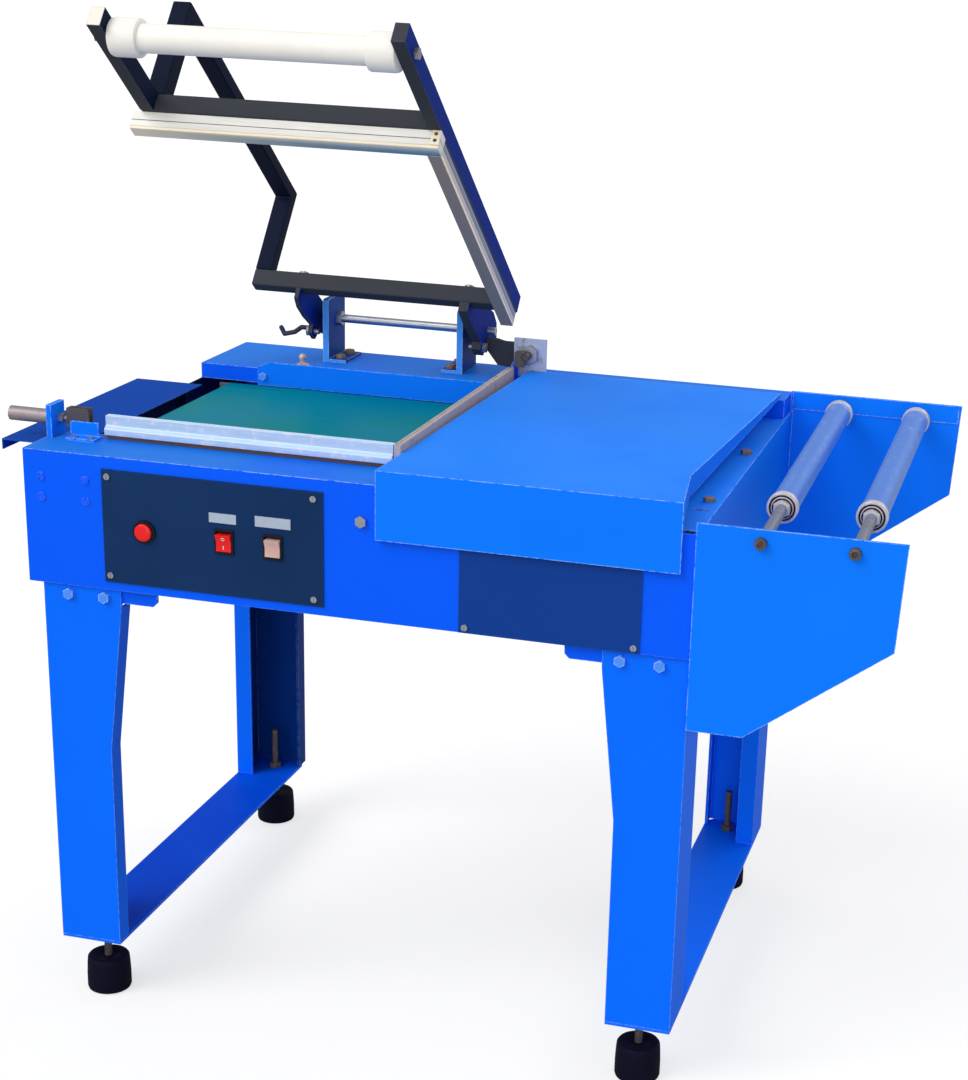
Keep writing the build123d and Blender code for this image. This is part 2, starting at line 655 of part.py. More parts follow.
def gusset(outer_x, side, front):
    """Angle under the cabinet that the leg is bolted to."""
    y0 = LEG_FRONT_Y + LEG_WALL if front else BODY_D - LEG_WALL - GUSSET_WALL
    near = outer_x + side * (LEG_WALL + FIT)
    far = outer_x + side * GUSSET_L
    low = LEG_TOP - GUSSET_H
    shape = plate_xz([(near, LEG_TOP), (far, LEG_TOP), (far, low + GUSSET_CUT),
                      (far - side * GUSSET_CUT, low), (near, low)], y0, y0 + GUSSET_WALL)
    y1 = y0 + GUSSET_WALL if front else y0
    y2 = y1 + (GUSSET_D if front else -GUSSET_D)
    shape = shape + span_block(near, far, y1, y2, LEG_TOP - GUSSET_WALL, LEG_TOP)
    y_face = LEG_FRONT_Y if front else BODY_D
    out = (0, -1, 0) if front else (0, 1, 0)
    inward = (0, 1, 0) if front else (0, -1, 0)
    for x in leg_bolt_xs(outer_x, side):
        shape = shape - rod((x, y0 - 1, leg_bolt_z), (x, y0 + GUSSET_WALL + 1, leg_bolt_z), BOLT_R + FIT)
        bolt = hex_bolt(BOLT_R, BOLT_AF, BOLT_HEAD, LEG_BOLT_L)
        keep("leg_fasteners", seated(bolt, (x, y_face, leg_bolt_z), out))
        nut = hex_nut(BOLT_R + AXLE_RUN, BOLT_AF, LEG_NUT_H)
        keep("leg_fasteners", seated(nut, (x, y1, leg_bolt_z), inward))
    return shape


def skid(outer_x, side):
    """Flat bar that joins the front and back legs of one side."""
    inner = outer_x + side * LEG_W
    y0 = LEG_FRONT_Y
    y1 = BODY_D
    points = [(outer_x, y0), (inner, y0), (inner, y1 - SKID_CORNER), (inner - side * SKID_CORNER, y1),
              (outer_x, y1)]
    bar = plate_xy(points, SKID_UP, SKID_TOP)
    for y in foot_ys:
        x = outer_x + side * FOOT_INSET_X
        bar = bar - rod((x, y, SKID_UP - 1), (x, y, SKID_TOP + 1), STUD_R + FIT)
        foot(x, y)
    return bar


def foot(x, y):
    """Rubber foot on a threaded stud with a nut under and over the skid."""
    pad = Pos(x, y, FOOT_H / 2) * Cylinder(FOOT_R, FOOT_H)
    pad = chamfer(pad.edges().filter_by(GeomType.CIRCLE), PAD_EDGE)
    hole = rod((x, y, FOOT_H - STUD_SUNK), (x, y, FOOT_H + 1), STUD_R + AXLE_RUN)
    keep("foot_pads", pad - hole)
    keep("leg_fasteners", rod((x, y, FOOT_H - STUD_SUNK), (x, y, SKID_TOP + STUD_ABOVE), STUD_R))
    keep("leg_fasteners", Pos(x, y, SKID_UP - NUT_H) * hex_nut(STUD_R + AXLE_RUN, NUT_AF, NUT_H))
    keep("leg_fasteners", Pos(x, y, SKID_TOP) * hex_nut(STUD_R + AXLE_RUN, NUT_AF, NUT_H))


def conveyor():
    """Belt round two drums between two cheek plates, with a belt drive under it."""
    z = drum_z
    bed_top = belt_top - BELT_T - FIT
    loop = belt_outline(drum_reach, BELT_FRONT, BELT_BACK)
    keep("conveyor_belt", loop - belt_outline(DRUM_R + FIT, BELT_FRONT - 1, BELT_BACK + 1))
    keep("conveyor_frame", block(idler_x + DRUM_R + 5, drive_x - DRUM_R - 5, cheek_front + CHEEK_T,
                                 cheek_back, bed_top - BED_T, bed_top))
    for name, x, tail in (("idler_drum", idler_x, 0), ("drive_drum", drive_x, PULLEY_W + 10)):
        drum = rod((x, BELT_FRONT + 1, z), (x, BELT_BACK - 1, z), DRUM_R)
        shaft = rod((x, cheek_front - 3, z), (x, cheek_back + CHEEK_T + 3 + tail, z), DRUM_SHAFT_R)
        keep(name, drum + shaft)
    cheek_low = belt_top - CHEEK_H
    front = block(cheek_left, STEP_X - SHEET, cheek_front, cheek_front + CHEEK_T, cheek_low, TABLE_H - SHEET)
    back = block(cheek_left, STEP_X - SHEET, cheek_back, cheek_back + CHEEK_T, cheek_low, belt_top - 2)
    back = back + block(MOTOR_X - HANGER_W / 2, MOTOR_X + HANGER_W / 2, cheek_back, cheek_back + CHEEK_T,
                        motor_z - HANGER_BELOW, cheek_low)
    back = back - rod((MOTOR_X, cheek_back - 1, motor_z), (MOTOR_X, cheek_back + CHEEK_T + 1, motor_z),
                      DRUM_SHAFT_R + 2)
    for x in (idler_x, drive_x):
        bore = DRUM_SHAFT_R + AXLE_RUN
        front = front - rod((x, cheek_front - 1, z), (x, cheek_front + CHEEK_T + 1, z), bore)
        back = back - rod((x, cheek_back - 1, z), (x, cheek_back + CHEEK_T + 1, z), bore)
    keep("conveyor_frame", front, back)
    for x in (BELT_LEFT + TIE_IN, BELT_RIGHT - TIE_IN):
        keep("conveyor_frame", rod((x, cheek_front + CHEEK_T, z), (x, cheek_back, z), TIE_R))
    keep("gear_motor", gear_motor())
    shaft = rod((MOTOR_X, cheek_back - 20, motor_z), (MOTOR_X, pulley_back + 2, motor_z), DRUM_SHAFT_R)
    keep("motor_pulley", shaft + pulley(MOTOR_X, motor_z, DRUM_SHAFT_R - 1))
    keep("drive_drum", pulley(drive_x, z, DRUM_SHAFT_R + AXLE_RUN))
    keep("drive_belt", drive_belt())


def gear_motor():
    """Gearbox on the back cheek with the motor in front of it."""
    half = GEARBOX_W / 2
    box_front = cheek_back - GEARBOX_D
    gearbox = block(MOTOR_X - half, MOTOR_X + half, box_front, cheek_back, motor_z - half, motor_z + half)
    gearbox = fillet(gearbox.edges().filter_by(Axis.Y), GEARBOX_EDGE)
    bore = rod((MOTOR_X, cheek_back - 22, motor_z), (MOTOR_X, cheek_back + 1, motor_z),
               DRUM_SHAFT_R + AXLE_RUN)
    body = rod((MOTOR_X, motor_front, motor_z), (MOTOR_X, box_front, motor_z), MOTOR_R)
    cap = rod((MOTOR_X, motor_front - MOTOR_CAP_L, motor_z), (MOTOR_X, motor_front, motor_z), MOTOR_CAP_R)
    return gearbox - bore + body + cap


def belt_outline(reach, y0, y1):
    """Stadium outline round both drums, from y0 to y1."""
    z = drum_z
    slab = block(idler_x, drive_x, y0, y1, z - reach, z + reach)
    for x in (idler_x, drive_x):
        slab = slab + rod((x, y0, z), (x, y1, z), reach)
    return slab


def pulley(x, z, bore):
    """Grooved wheel for the drive belt."""
    half = PULLEY_W / 2
    groove = PULLEY_R - PULLEY_GROOVE
    top = VBELT_TOP_W / 2 + FIT
    low = VBELT_LOW_W / 2 + FIT
    points = [(bore, -half), (PULLEY_R, -half), (PULLEY_R, -top), (groove, -low), (groove, low),
              (PULLEY_R, top), (PULLEY_R, half), (bore, half)]
    profile = Plane.XZ * make_face(Polyline(*points, close=True))
    wheel = revolve(profile, Axis.Z)
    return seated(wheel, (x, pulley_front + half, z), (0, 1, 0))


def drive_belt():
    """V-belt round the two equal pulleys, hanging free between them."""
    start = Vector(MOTOR_X, 0, motor_z)
    end = Vector(drive_x, 0, drum_z)
    reach = PULLEY_R - 1
    depth = PULLEY_GROOVE - 1.5
    run = end - start
    middle = (start + end) / 2
    plane = Plane(origin=(middle.X, pulley_front + PULLEY_W / 2, middle.Z), x_dir=run, z_dir=(0, -1, 0))
    half = VBELT_LOW_W / 2
    outer = extrude(plane * SlotCenterToCenter(run.length, reach * 2), half, both=True)
    inner = extrude(plane * SlotCenterToCenter(run.length, (reach - depth) * 2), half + 1, both=True)
    return outer - inner


def transformer():
    """Supply for the sealing wires, on a shelf in the power bay; gives back the shelf."""
    floor = body_low + SHEET
    x0, x1 = CORE_X, CORE_X + CORE_L
    y0, y1 = CORE_Y, CORE_Y + CORE_D
    out = CORE_PLATE_OUT
    core = block(x0, x1, y0, y1, floor + CORE_PLATE_H, floor + CORE_PLATE_H + CORE_H)
    base = block(x0 - out, x1 + out, y0 - out, y1 + out, floor, floor + CORE_PLATE_H)
    coil_low = body_low + COIL_LOW
    coil = block(x0 + COIL_IN, x1 - COIL_IN, y0 - COIL_T, y0, coil_low, coil_low + COIL_H)
    coil = coil + block(x0 + COIL_IN, x1 - COIL_IN, y1, y1 + COIL_T, coil_low, coil_low + COIL_H)
    keep("transformer", core + base + coil)
    return block(STEP_X + SHEET, BODY_L - SHEET, y0 - 2 * out, y1 + 2 * out, body_low, floor)


def front_panel():
    """Switch panel, its screws, the button, two rockers and two bare plates."""
    z0 = up(PANEL_BOTTOM)
    z1 = up(PANEL_TOP)
    panel_screw = pan_screw(SCREW_R, SCREW_HEAD_R, SCREW_HEAD_H, 8)
    panel = block(PANEL_LEFT, PANEL_RIGHT, panel_face, 0, z0, z1)
    panel = panel - rod((BUTTON_X, -9, up(BUTTON_Z)), (BUTTON_X, 3, up(BUTTON_Z)), BUTTON_R - 1)
    for x in (ROCKER_X1, ROCKER_X2):
        panel = panel - block(x - ROCKER_W / 2 - 1, x + ROCKER_W / 2 + 1, -9, 3,
                              up(ROCKER_Z) - ROCKER_H / 2 - 1, up(ROCKER_Z) + ROCKER_H / 2 + 1)
    for x, z in panel_corners:
        panel = panel - rod((x, -9, up(z)), (x, 3, up(z)), SCREW_R + FIT)
        keep("front_screws", seated(panel_screw, (x, panel_face, up(z)), (0, -1, 0)))
    keep("control_panel", panel)
    face = (BUTTON_X, panel_face, up(BUTTON_Z))
    ring = Pos(0, 0, 1.5) * Cylinder(BUTTON_R + 3.5, 3) - Pos(0, 0, 1) * Cylinder(BUTTON_R + FIT, 6)
    ring = ring + Pos(0, 0, -9) * (Cylinder(BUTTON_R - 1 - 0.2, 18) - Cylinder(BUTTON_R - 4, 40))
    ring = ring + Pos(0, 0, -19) * Cylinder(BUTTON_R - 1.2, 2)
    keep("button_collar", seated(ring, face, (0, -1, 0)))
    cap = Pos(0, 0, BUTTON_TRAVEL + 2.3) * Cylinder(BUTTON_R, 4)
    cap = fillet(cap.faces().sort_by(Axis.Z)[-1].edges(), 1.6)
    cap = cap + Pos(0, 0, -3.5 + BUTTON_TRAVEL / 2) * Cylinder(BUTTON_R - 4 - FIT, 7 + BUTTON_TRAVEL)
    keep("stop_button", seated(cap, face, (0, -1, 0)))
    for name, x in (("main_rocker", ROCKER_X1), ("conveyor_rocker", ROCKER_X2)):
        switch(name, x)
    for x0, x1, z_low, z_high in ((246, 281, -67, -55), (305.5, 351, -66, -53)):
        keep("switch_labels", block(x0, x1, panel_face - LABEL_T, panel_face, up(z_low), up(z_high)))
    door = block(DOOR_LEFT, DOOR_RIGHT, panel_face, 0, up(DOOR_BOTTOM), up(DOOR_TOP))
    for x, z in door_corners:
        door = door - rod((x, -9, up(z)), (x, 3, up(z)), SCREW_R + FIT)
        keep("front_screws", seated(panel_screw, (x, panel_face, up(z)), (0, -1, 0)))
    keep("access_door", door)
    for x, z in screw_marks:
        screw = pan_screw(SCREW_R, SCREW_HEAD_R + 1, SCREW_HEAD_H, 8)
        keep("cabinet", seated(screw, (x, 0, up(z)), (0, -1, 0)))
    bolt = hex_bolt(BOLT_R, BOLT_AF, BOLT_HEAD, 12)
    keep("front_screws", seated(bolt, (front_bolt_x, 0, front_bolt_z), (0, -1, 0)))


def switch(name, x):
    """Bezel with a back housing, and a rocker that tips about its middle."""
    z = up(ROCKER_Z)
    bezel = block(x - BEZEL_W / 2, x + BEZEL_W / 2, panel_face - 2.5, panel_face,
                  z - BEZEL_H / 2, z + BEZEL_H / 2)
    housing = block(x - ROCKER_W / 2 - 0.8, x + ROCKER_W / 2 + 0.8, panel_face, 22,
                    z - ROCKER_H / 2 - 0.8, z + ROCKER_H / 2 + 0.8)
    well = block(x - ROCKER_W / 2, x + ROCKER_W / 2, panel_face - 3, 10, z - ROCKER_H / 2, z + ROCKER_H / 2)
    keep("switch_bezels", bezel + housing - well)
    pivot_y = rocker_pivot_y
    reach = ROCKER_H / 2 - 1.8
    lift = math.tan(math.radians(ROCKER_TILT)) * reach
    y_mid = panel_face - 3
    points = [(y_mid, z), (y_mid - lift * 1.4, z + reach), (pivot_y + 1, z + reach - 0.8),
              (pivot_y + 3, z), (pivot_y + 1, z - reach + 0.8), (y_mid - lift * 1.4, z - reach)]
    rocker = plate_yz(points, x - ROCKER_W / 2 + FIT, x + ROCKER_W / 2 - FIT)
    keep(name, rocker.rotate(Axis((x, pivot_y, z), (1, 0, 0)), ROCKER_TILT))


def sealing_bars():
    """Two upright bars in an L, on insulating strips, with a wire along each top."""
    for name, box in (("front_seal_bar", (BAR_LEFT, BAR_SIDE_X - 0.5, BAR_FRONT, bar_back_y)),
                      ("side_seal_bar", (BAR_SIDE_X, BAR_SIDE_X + BAR_T, BAR_FRONT, BAR_BACK))):
        x0, x1, y0, y1 = box
        strip = block(x0, x1, y0, y1, TABLE_H, bar_low)
        bar = block(x0, x1, y0, y1, bar_low, bar_top)
        if name == "front_seal_bar":
            foot_points = [(y0, bar_low), (y0 - 5, bar_low), (y0 - 5, bar_low + 8), (y0, bar_low + 12)]
            bar = bar + plate_yz(foot_points, x0, x1)
            groove = block(x0 - 1, x1 + 1, y0 + 3, y0 + 6, bar_top - 2.5, bar_top + 1)
            line = ((x0, y0 + 4.5), (x1, y0 + 4.5))
        else:
            groove = block(x0 + 3, x0 + 6, y0 - 1, y1 + 1, bar_top - 2.5, bar_top + 1)
            line = ((x0 + 4.5, y0), (x0 + 4.5, y1))
        keep("bar_strips", strip)
        keep(name, bar - groove)
        wire_z = bar_top - 2.5 + WIRE_R
        keep("seal_wires", rod((*line[0], wire_z), (*line[1], wire_z), WIRE_R))


def left_tensioner():
    """Spring tube, wall plate and clamp that keep the front wire tight."""
    y = bar_middle_y
    z = up(TENSION_UP)
    rod_bore = TENSION_R + AXLE_RUN
    plate = block(0, TENSION_PLATE_T, TRAY_FRONT + 3, y + 13, up(TRAY_UP), up(TENSION_PLATE_UP))
    keep("left_tensioner", plate - rod((-1, y, z), (TENSION_PLATE_T + 1, y, z), TENSION_R + FIT))
    spring_tube = tube((-SPRING_TUBE_L, y, z), (0, y, z), SPRING_TUBE_R, SPRING_TUBE_BORE)
    end_ring = tube((-SPRING_TUBE_L, y, z), (3 - SPRING_TUBE_L, y, z), SPRING_TUBE_BORE + 1, TENSION_R + FIT)
    keep("left_tensioner", spring_tube + end_ring)
    keep("left_tensioner", rod((-SPRING_TUBE_L - 2, y, z), (CLAMP_LEFT + 6, y, z), TENSION_R))
    keep("left_tensioner", seated(hex_nut(rod_bore, 12, 7), (TENSION_PLATE_T, y, z), (1, 0, 0)))
    clamp_right = CLAMP_LEFT + CLAMP_L
    half = CLAMP_W / 2
    clamp = block(CLAMP_LEFT, clamp_right, y - half, y + half, up(CLAMP_LOW), up(CLAMP_UP))
    clamp = clamp - block(CLAMP_LEFT + 4, clamp_right + 1, y - half + 3, y + half - 3,
                          up(CLAMP_LOW + 3), up(CLAMP_UP + 1))
    keep("left_tensioner", clamp - rod((CLAMP_LEFT - 1, y, z), (CLAMP_LEFT + 5, y, z), rod_bore))
    angle_right = ANGLE_LEFT + ANGLE_L
    angle_back = y - half - 1
    angle = block(ANGLE_LEFT, angle_right, ANGLE_FRONT, angle_back, TABLE_H, up(3))
    angle = angle + block(ANGLE_LEFT - 3, angle_right - 3, angle_back - 3, angle_back, up(3), up(ANGLE_UP))
    screw_y = ANGLE_FRONT + 8
    for x in (ANGLE_LEFT + 8, angle_right - 8):
        angle = angle - rod((x, screw_y, TABLE_H - 1), (x, screw_y, up(4)), SCREW_R + AXLE_RUN)
        screw = pan_screw(SCREW_R, SCREW_HEAD_R, SCREW_HEAD_H, 3)
        keep("left_tensioner", seated(screw, (x, screw_y, up(3)), (0, 0, 1)))
    keep("left_tensioner", angle)


def right_tensioner():
    """Upright plate with a nut and rod that keep the side wire tight."""
    x = SIDE_ROD_X
    z = up(SIDE_ROD_UP)
    y = STRIP_FRONT + 2
    y_back = y + SIDE_PLATE_T
    half = SIDE_PLATE_W / 2
    bore = SIDE_ROD_R + AXLE_RUN
    plate = block(x - half, x + half, y, y_back, cover_top, up(SIDE_PLATE_UP))
    keep("right_tensioner", plate - rod((x, y - 1, z), (x, y_back + 1, z), SIDE_ROD_R + FIT))
    keep("right_tensioner", rod((x, y - 26, z), (x, y + 16, z), SIDE_ROD_R))
    keep("right_tensioner", seated(hex_nut(bore, 24, 10), (x, y, z), (0, -1, 0)))
    keep("right_tensioner", seated(hex_nut(bore, 16, 8), (x, y_back, z), (0, 1, 0)))
    clamp = block(x - 15, x - 1, y - 29, y - 16, z - 14, z + 7)
    keep("right_tensioner", clamp - rod((x, y - 30, z), (x, y - 15, z), bore))
    ear = plate_yz([(BAR_BACK + 1, TABLE_H), (STRIP_FRONT, TABLE_H), (STRIP_FRONT, up(34)),
                    (BAR_BACK + 14, up(34)), (BAR_BACK + 1, up(26))], BAR_SIDE_X + 2, BAR_SIDE_X + 5)
    keep("rear_cover", ear)


def hinge():
    """Two L brackets with their feet towards each other, a shaft and its nuts."""
    y0 = HINGE_Y - BRACKET_FRONT
    y1 = HINGE_Y + BRACKET_BACK
    foot_top = cover_top + BRACKET_BASE_H
    for x, foot, bolt_x in ((BRACKET_LEFT, (0, BRACKET_FOOT), bracket_bolt_xs[0]),
                            (BRACKET_RIGHT, (BRACKET_T - BRACKET_FOOT_R, BRACKET_T), bracket_bolt_xs[1])):
        upright = block(x, x + BRACKET_T, y0, y1, cover_top, cover_top + BRACKET_H)
        upright = fillet(upright.edges().filter_by(Axis.X).sort_by(Axis.Z)[-2:], BRACKET_EDGE)
        bracket = upright + block(x + foot[0], x + foot[1], y0, y1, cover_top, foot_top)
        bracket = bracket - rod((x - 1, HINGE_Y, hinge_z), (x + BRACKET_T + 1, HINGE_Y, hinge_z),
                                SHAFT_R + AXLE_RUN)
        for y in bracket_bolt_ys:
            bracket = bracket - rod((bolt_x, y, cover_top - 1), (bolt_x, y, foot_top + 1), BOLT_R + FIT)
            bolt = hex_bolt(BOLT_R, BOLT_AF, BOLT_HEAD, 14)
            keep("cover_fittings", seated(bolt, (bolt_x, y, foot_top), (0, 0, 1)))
        keep("hinge_brackets", bracket)
        for face, facing in ((x, -1), (x + BRACKET_T, 1)):
            nut = hex_nut(SHAFT_R + AXLE_RUN, SHAFT_NUT_AF, SHAFT_NUT_H)
            keep("hinge_shaft", seated(nut, (face, HINGE_Y, hinge_z), (facing, 0, 0)))
    keep("hinge_shaft", rod((shaft_ends[0], HINGE_Y, hinge_z), (shaft_ends[1], HINGE_Y, hinge_z), SHAFT_R))
    keep("cover_fittings", ball_fitting())
    guard_bolt = hex_bolt(SMALL_BOLT_R, SMALL_BOLT_AF, SMALL_BOLT_HEAD, 10)
    place = (GUARD_BOLT_X, COVER_FRONT - GUARD_T, guard_bolt_z)
    keep("cover_fittings", seated(guard_bolt, place, (0, -1, 0)))


def ball_fitting():
    """Ball on a neck over a domed washer, with its shank through the cover."""
    low_ball = Pos(0, 0, BALL_BASE_H - BALL_BASE_R) * Sphere(BALL_BASE_R)
    dome = low_ball & block(-BALL_BASE_R, BALL_BASE_R, -BALL_BASE_R, BALL_BASE_R, 0, BALL_BASE_H)
    neck = rod((0, 0, -8), (0, 0, BALL_UP), BALL_NECK_R)
    ball = Pos(0, 0, BALL_UP) * Sphere(BALL_R)
    return Pos(BALL_X, BALL_Y, cover_top) * (dome + neck + ball)


def arm_block(x0, x1, r0, r1, h0, h1):
    """Box in the arm's own plane before it is swung open."""
    return block(x0, x1, HINGE_Y - r1, HINGE_Y - r0, hinge_z + h0, hinge_z + h1)


def arm_rod(x0, x1, r, h, radius):
    """Round bar along the arm's hinge direction before it is swung open."""
    return rod((x0, HINGE_Y - r, hinge_z + h), (x1, HINGE_Y - r, hinge_z + h), radius)


def arm_plate(points, x0, x1):
    """Outline in the arm's own plane, given as pairs of R and H."""
    return plate_yz([(HINGE_Y - r, hinge_z + h) for r, h in points], x0, x1)


def swung(shape):
    """Swings a piece of the arm up to its rest position."""
    return shape.rotate(Axis((0, HINGE_Y, hinge_z), (1, 0, 0)), -ARM_OPEN)


def arm():
    """Welded frame of rectangular tube with the goose neck over the exit side."""
    low = TUBE_BOTTOM
    top = TUBE_TOP
    right = ARM_RIGHT_X + TUBE_W
    back_bar_r = HINGE_BAR_R - TUBE_DEEP
    pieces = {}
    pieces["arm_side_tube"] = arm_block(ARM_RIGHT_X, right, back_bar_r, PRONG_R, low, top)
    pieces["arm_hinge_bar"] = arm_block(ARM_LEFT, ARM_RIGHT_X, back_bar_r, HINGE_BAR_R, low, top)
    pieces["arm_front_bar"] = arm_block(ARM_LEFT, ARM_RIGHT_X, FRONT_BAR_R - NECK_W, FRONT_BAR_R, low, top)
    pieces["arm_prong"] = arm_block(ARM_LEFT, ARM_LEFT + TUBE_W, FRONT_BAR_R, PRONG_R, low, top)
    neck = [(back_bar_r, top), (HINGE_BAR_R, top), (HINGE_BAR_R, NECK_H - NECK_T),
            (FRONT_BAR_R - NECK_W, NECK_H - NECK_T), (FRONT_BAR_R - NECK_W, top), (FRONT_BAR_R, top),
            (FRONT_BAR_R, NECK_H), (back_bar_r, NECK_H)]
    pieces["arm_goose_neck"] = arm_plate(neck, ARM_LEFT, ARM_LEFT + NECK_W)
    bore = HANDLE_BOLT_R + FIT
    for name, x in (("arm_prong", ARM_LEFT), ("arm_side_tube", ARM_RIGHT_X)):
        pieces[name] = pieces[name] - arm_rod(x - 1, x + TUBE_W + 1, HANDLE_R, HANDLE_H, bore)
    pipe_ends = (ARM_LEFT + TUBE_W, ARM_RIGHT_X)
    cap_in = (pipe_ends[0] + CAP_L, pipe_ends[1] - CAP_L)
    sunk = HANDLE_PIPE_IN
    pieces["handle_pipe"] = arm_rod(cap_in[0] - sunk, cap_in[1] + sunk, HANDLE_R, HANDLE_H, HANDLE_PIPE_R)
    socket_r = HANDLE_PIPE_R + AXLE_RUN
    for x0, x1, socket in ((pipe_ends[0], cap_in[0], (cap_in[0] - sunk, cap_in[0] + 1)),
                           (cap_in[1], pipe_ends[1], (cap_in[1] - 1, cap_in[1] + sunk))):
        cap = arm_rod(x0, x1, HANDLE_R, HANDLE_H, CAP_R) - arm_rod(*socket, HANDLE_R, HANDLE_H, socket_r)
        keep("handle_caps", swung(cap - arm_rod(x0 - 1, x1 + 1, HANDLE_R, HANDLE_H, bore)))
    handle_bolt = hex_bolt(HANDLE_BOLT_R, BOLT_AF, BOLT_HEAD, TUBE_W + CAP_L - HANDLE_PIPE_IN - 2)
    for x, facing in ((ARM_LEFT, -1), (right, 1)):
        place = (x, HINGE_Y - HANDLE_R, hinge_z + HANDLE_H)
        keep("arm_bolts", swung(seated(handle_bolt, place, (facing, 0, 0))))
    jaw_low = BAR_UP - HINGE_UP + FIT + PAD_H
    jaw_in = JAW_FRONT_R - JAW_T
    for name, jaw in (("front_jaw", (JAW_LEFT, right, jaw_in, JAW_FRONT_R)),
                      ("side_jaw", (right - JAW_T, right, JAW_BACK_R, jaw_in))):
        keep(name, swung(arm_block(*jaw, jaw_low, low)))
        keep("jaw_pads", swung(arm_block(*jaw, jaw_low - PAD_H, jaw_low)))
    corner_out = FRONT_BAR_R - NECK_W
    corner_in = corner_out - CORNER_L
    corner_right = right - JAW_T
    corner_x = corner_right - CORNER_T
    corner = arm_block(corner_x, corner_right, corner_in, corner_out, low - CORNER_LOW, low + CORNER_HIGH)
    for r in (corner_in + 8, corner_out - 8):
        corner = corner - arm_rod(corner_x - 1, corner_right + 1, r, low - 1, SCREW_R + AXLE_RUN)
        screw = pan_screw(SCREW_R, SCREW_HEAD_R, SCREW_HEAD_H, CORNER_T - 2)
        keep("arm_bolts", swung(seated(screw, (corner_x, HINGE_Y - r, hinge_z + low - 1), (-1, 0, 0))))
    keep("front_jaw", swung(corner))
    hinge_lugs()
    for name, solid in pieces.items():
        keep(name, swung(solid))


def hinge_lugs():
    """Lugs that hang the arm on its shaft, with their stop bolts, the hook and the cross lever."""
    back = HINGE_BAR_R - TUBE_DEEP
    low = TUBE_BOTTOM
    left_x = BRACKET_LEFT - LUG_GAP - LUG_T
    right_x = BRACKET_RIGHT + BRACKET_T + LUG_GAP
    left_outline = [(back, TUBE_TOP - 2), (0, 16), (-14, 12), (-24, 0), (-22, -17), (7, -29), (12, -44),
                    (30, -44), (34, -32), (63, -36), (91, -36), (107, -30), (107, low), (back, low)]
    right_outline = [(back, TUBE_TOP - 2), (-7, 34), (-30, 30), (-46, 12), (-50, 0), (-45, -6), (-8, -22),
                     (-4, -38), (14, -38), (18, -29), (71, -31), (106, -28), (106, low), (back, low)]
    for x, thick, outline, stop_at, out in ((left_x, LUG_T, left_outline, (21, -36), -1),
                                            (right_x, LUG_WIDE_T, right_outline, (5, -30), 1)):
        lug = arm_plate(outline, x, x + thick) - arm_rod(x - 1, x + thick + 1, 0, 0, SHAFT_R + AXLE_RUN)
        keep("hinge_lugs", swung(lug - arm_rod(x - 1, x + thick + 1, *stop_at, BOLT_R + FIT)))
        face = x if out < 0 else x + thick
        stop = hex_bolt(BOLT_R, BOLT_AF, BOLT_HEAD, thick + STOP_BOLT_PAST)
        stop_place = (face, HINGE_Y - stop_at[0], hinge_z + stop_at[1])
        keep("arm_bolts", swung(seated(stop, stop_place, (out, 0, 0))))
        carriage = Pos(0, 0, CARRIAGE_H / 2) * Cylinder(CARRIAGE_R, CARRIAGE_H)
        place = (x + thick / 2, HINGE_Y - back - TUBE_DEEP / 2, hinge_z + TUBE_TOP)
        keep("arm_bolts", swung(seated(carriage, place, (0, 0, 1))))
    hook_points = [(left_x, HINGE_Y, 50), (left_x - 30, HINGE_Y, 50), (left_x - 41, HINGE_Y, 42),
                   (left_x - 57, HINGE_Y, 38), (left_x - 62, HINGE_Y, 47)]
    hook_path = [(x, y, up(height)) for x, y, height in hook_points]
    hook = rod(hook_path[0], hook_path[1], HOOK_R)
    for start, end in zip(hook_path[1:], hook_path[2:]):
        hook = hook + Pos(*start) * Sphere(HOOK_R) + rod(start, end, HOOK_R)
    keep("hinge_lugs", hook + Pos(*hook_path[-1]) * Sphere(HOOK_R))
    lever_x = right_x + LUG_WIDE_T
    lever = [(lever_x, up(59)), (lever_x + 14, up(59)), (lever_x + 26, up(56)), (lever_x + 40, up(56)),
             (lever_x + 40, up(18)), (lever_x + 16, up(21)), (lever_x, up(41))]
    keep("hinge_lugs", plate_xz(lever, HINGE_Y - LEVER_T / 2, HINGE_Y + LEVER_T / 2))


def build():
    """Makes every sub-part, in the frame of the cabinet's front left corner."""
    shell = cabinet()
    shell = shell + transformer()
    keep("cabinet", shell)
    keep("exit_tray", exit_tray())
    keep("exit_tray", tray_bracket(TRAY_FRONT + TRAY_BRACKET_IN),
         tray_bracket(TRAY_BACK - TRAY_BRACKET_IN))
    keep("rear_cover", rear_cover())
    keep("guard_plate", guard_plate())
    keep("work_table", work_table())
    keep("film_cradle", film_cradle())
    for x, y in cradle_bolts_at:
        keep("cradle_bolts", Pos(x, y, rim + SHEET) * hex_bolt(BOLT_R, BOLT_AF, BOLT_HEAD, 16))
        nut = hex_nut(BOLT_R + AXLE_RUN, BOLT_AF, BOLT_NUT_H)
        keep("cradle_bolts", Pos(x, y, rim - SHEET - BOLT_NUT_H) * nut)
    film_roller(ROLLER_X1, "film_roller_inner")
    film_roller(ROLLER_X2, "film_roller_outer")
    sides = ((LEG_LEFT, 1, "left"), (LEG_RIGHT, -1, "right"))
    for outer_x, side, word in sides:
        for front, end in ((True, "front"), (False, "back")):
            keep(f"leg_{end}_{word}", leg(outer_x, side, front))
            keep("leg_gussets", gusset(outer_x, side, front))
        keep(f"skid_{word}", skid(outer_x, side))
    conveyor()
    front_panel()
    sealing_bars()
    left_tensioner()
    right_tensioner()
    hinge()
    arm()


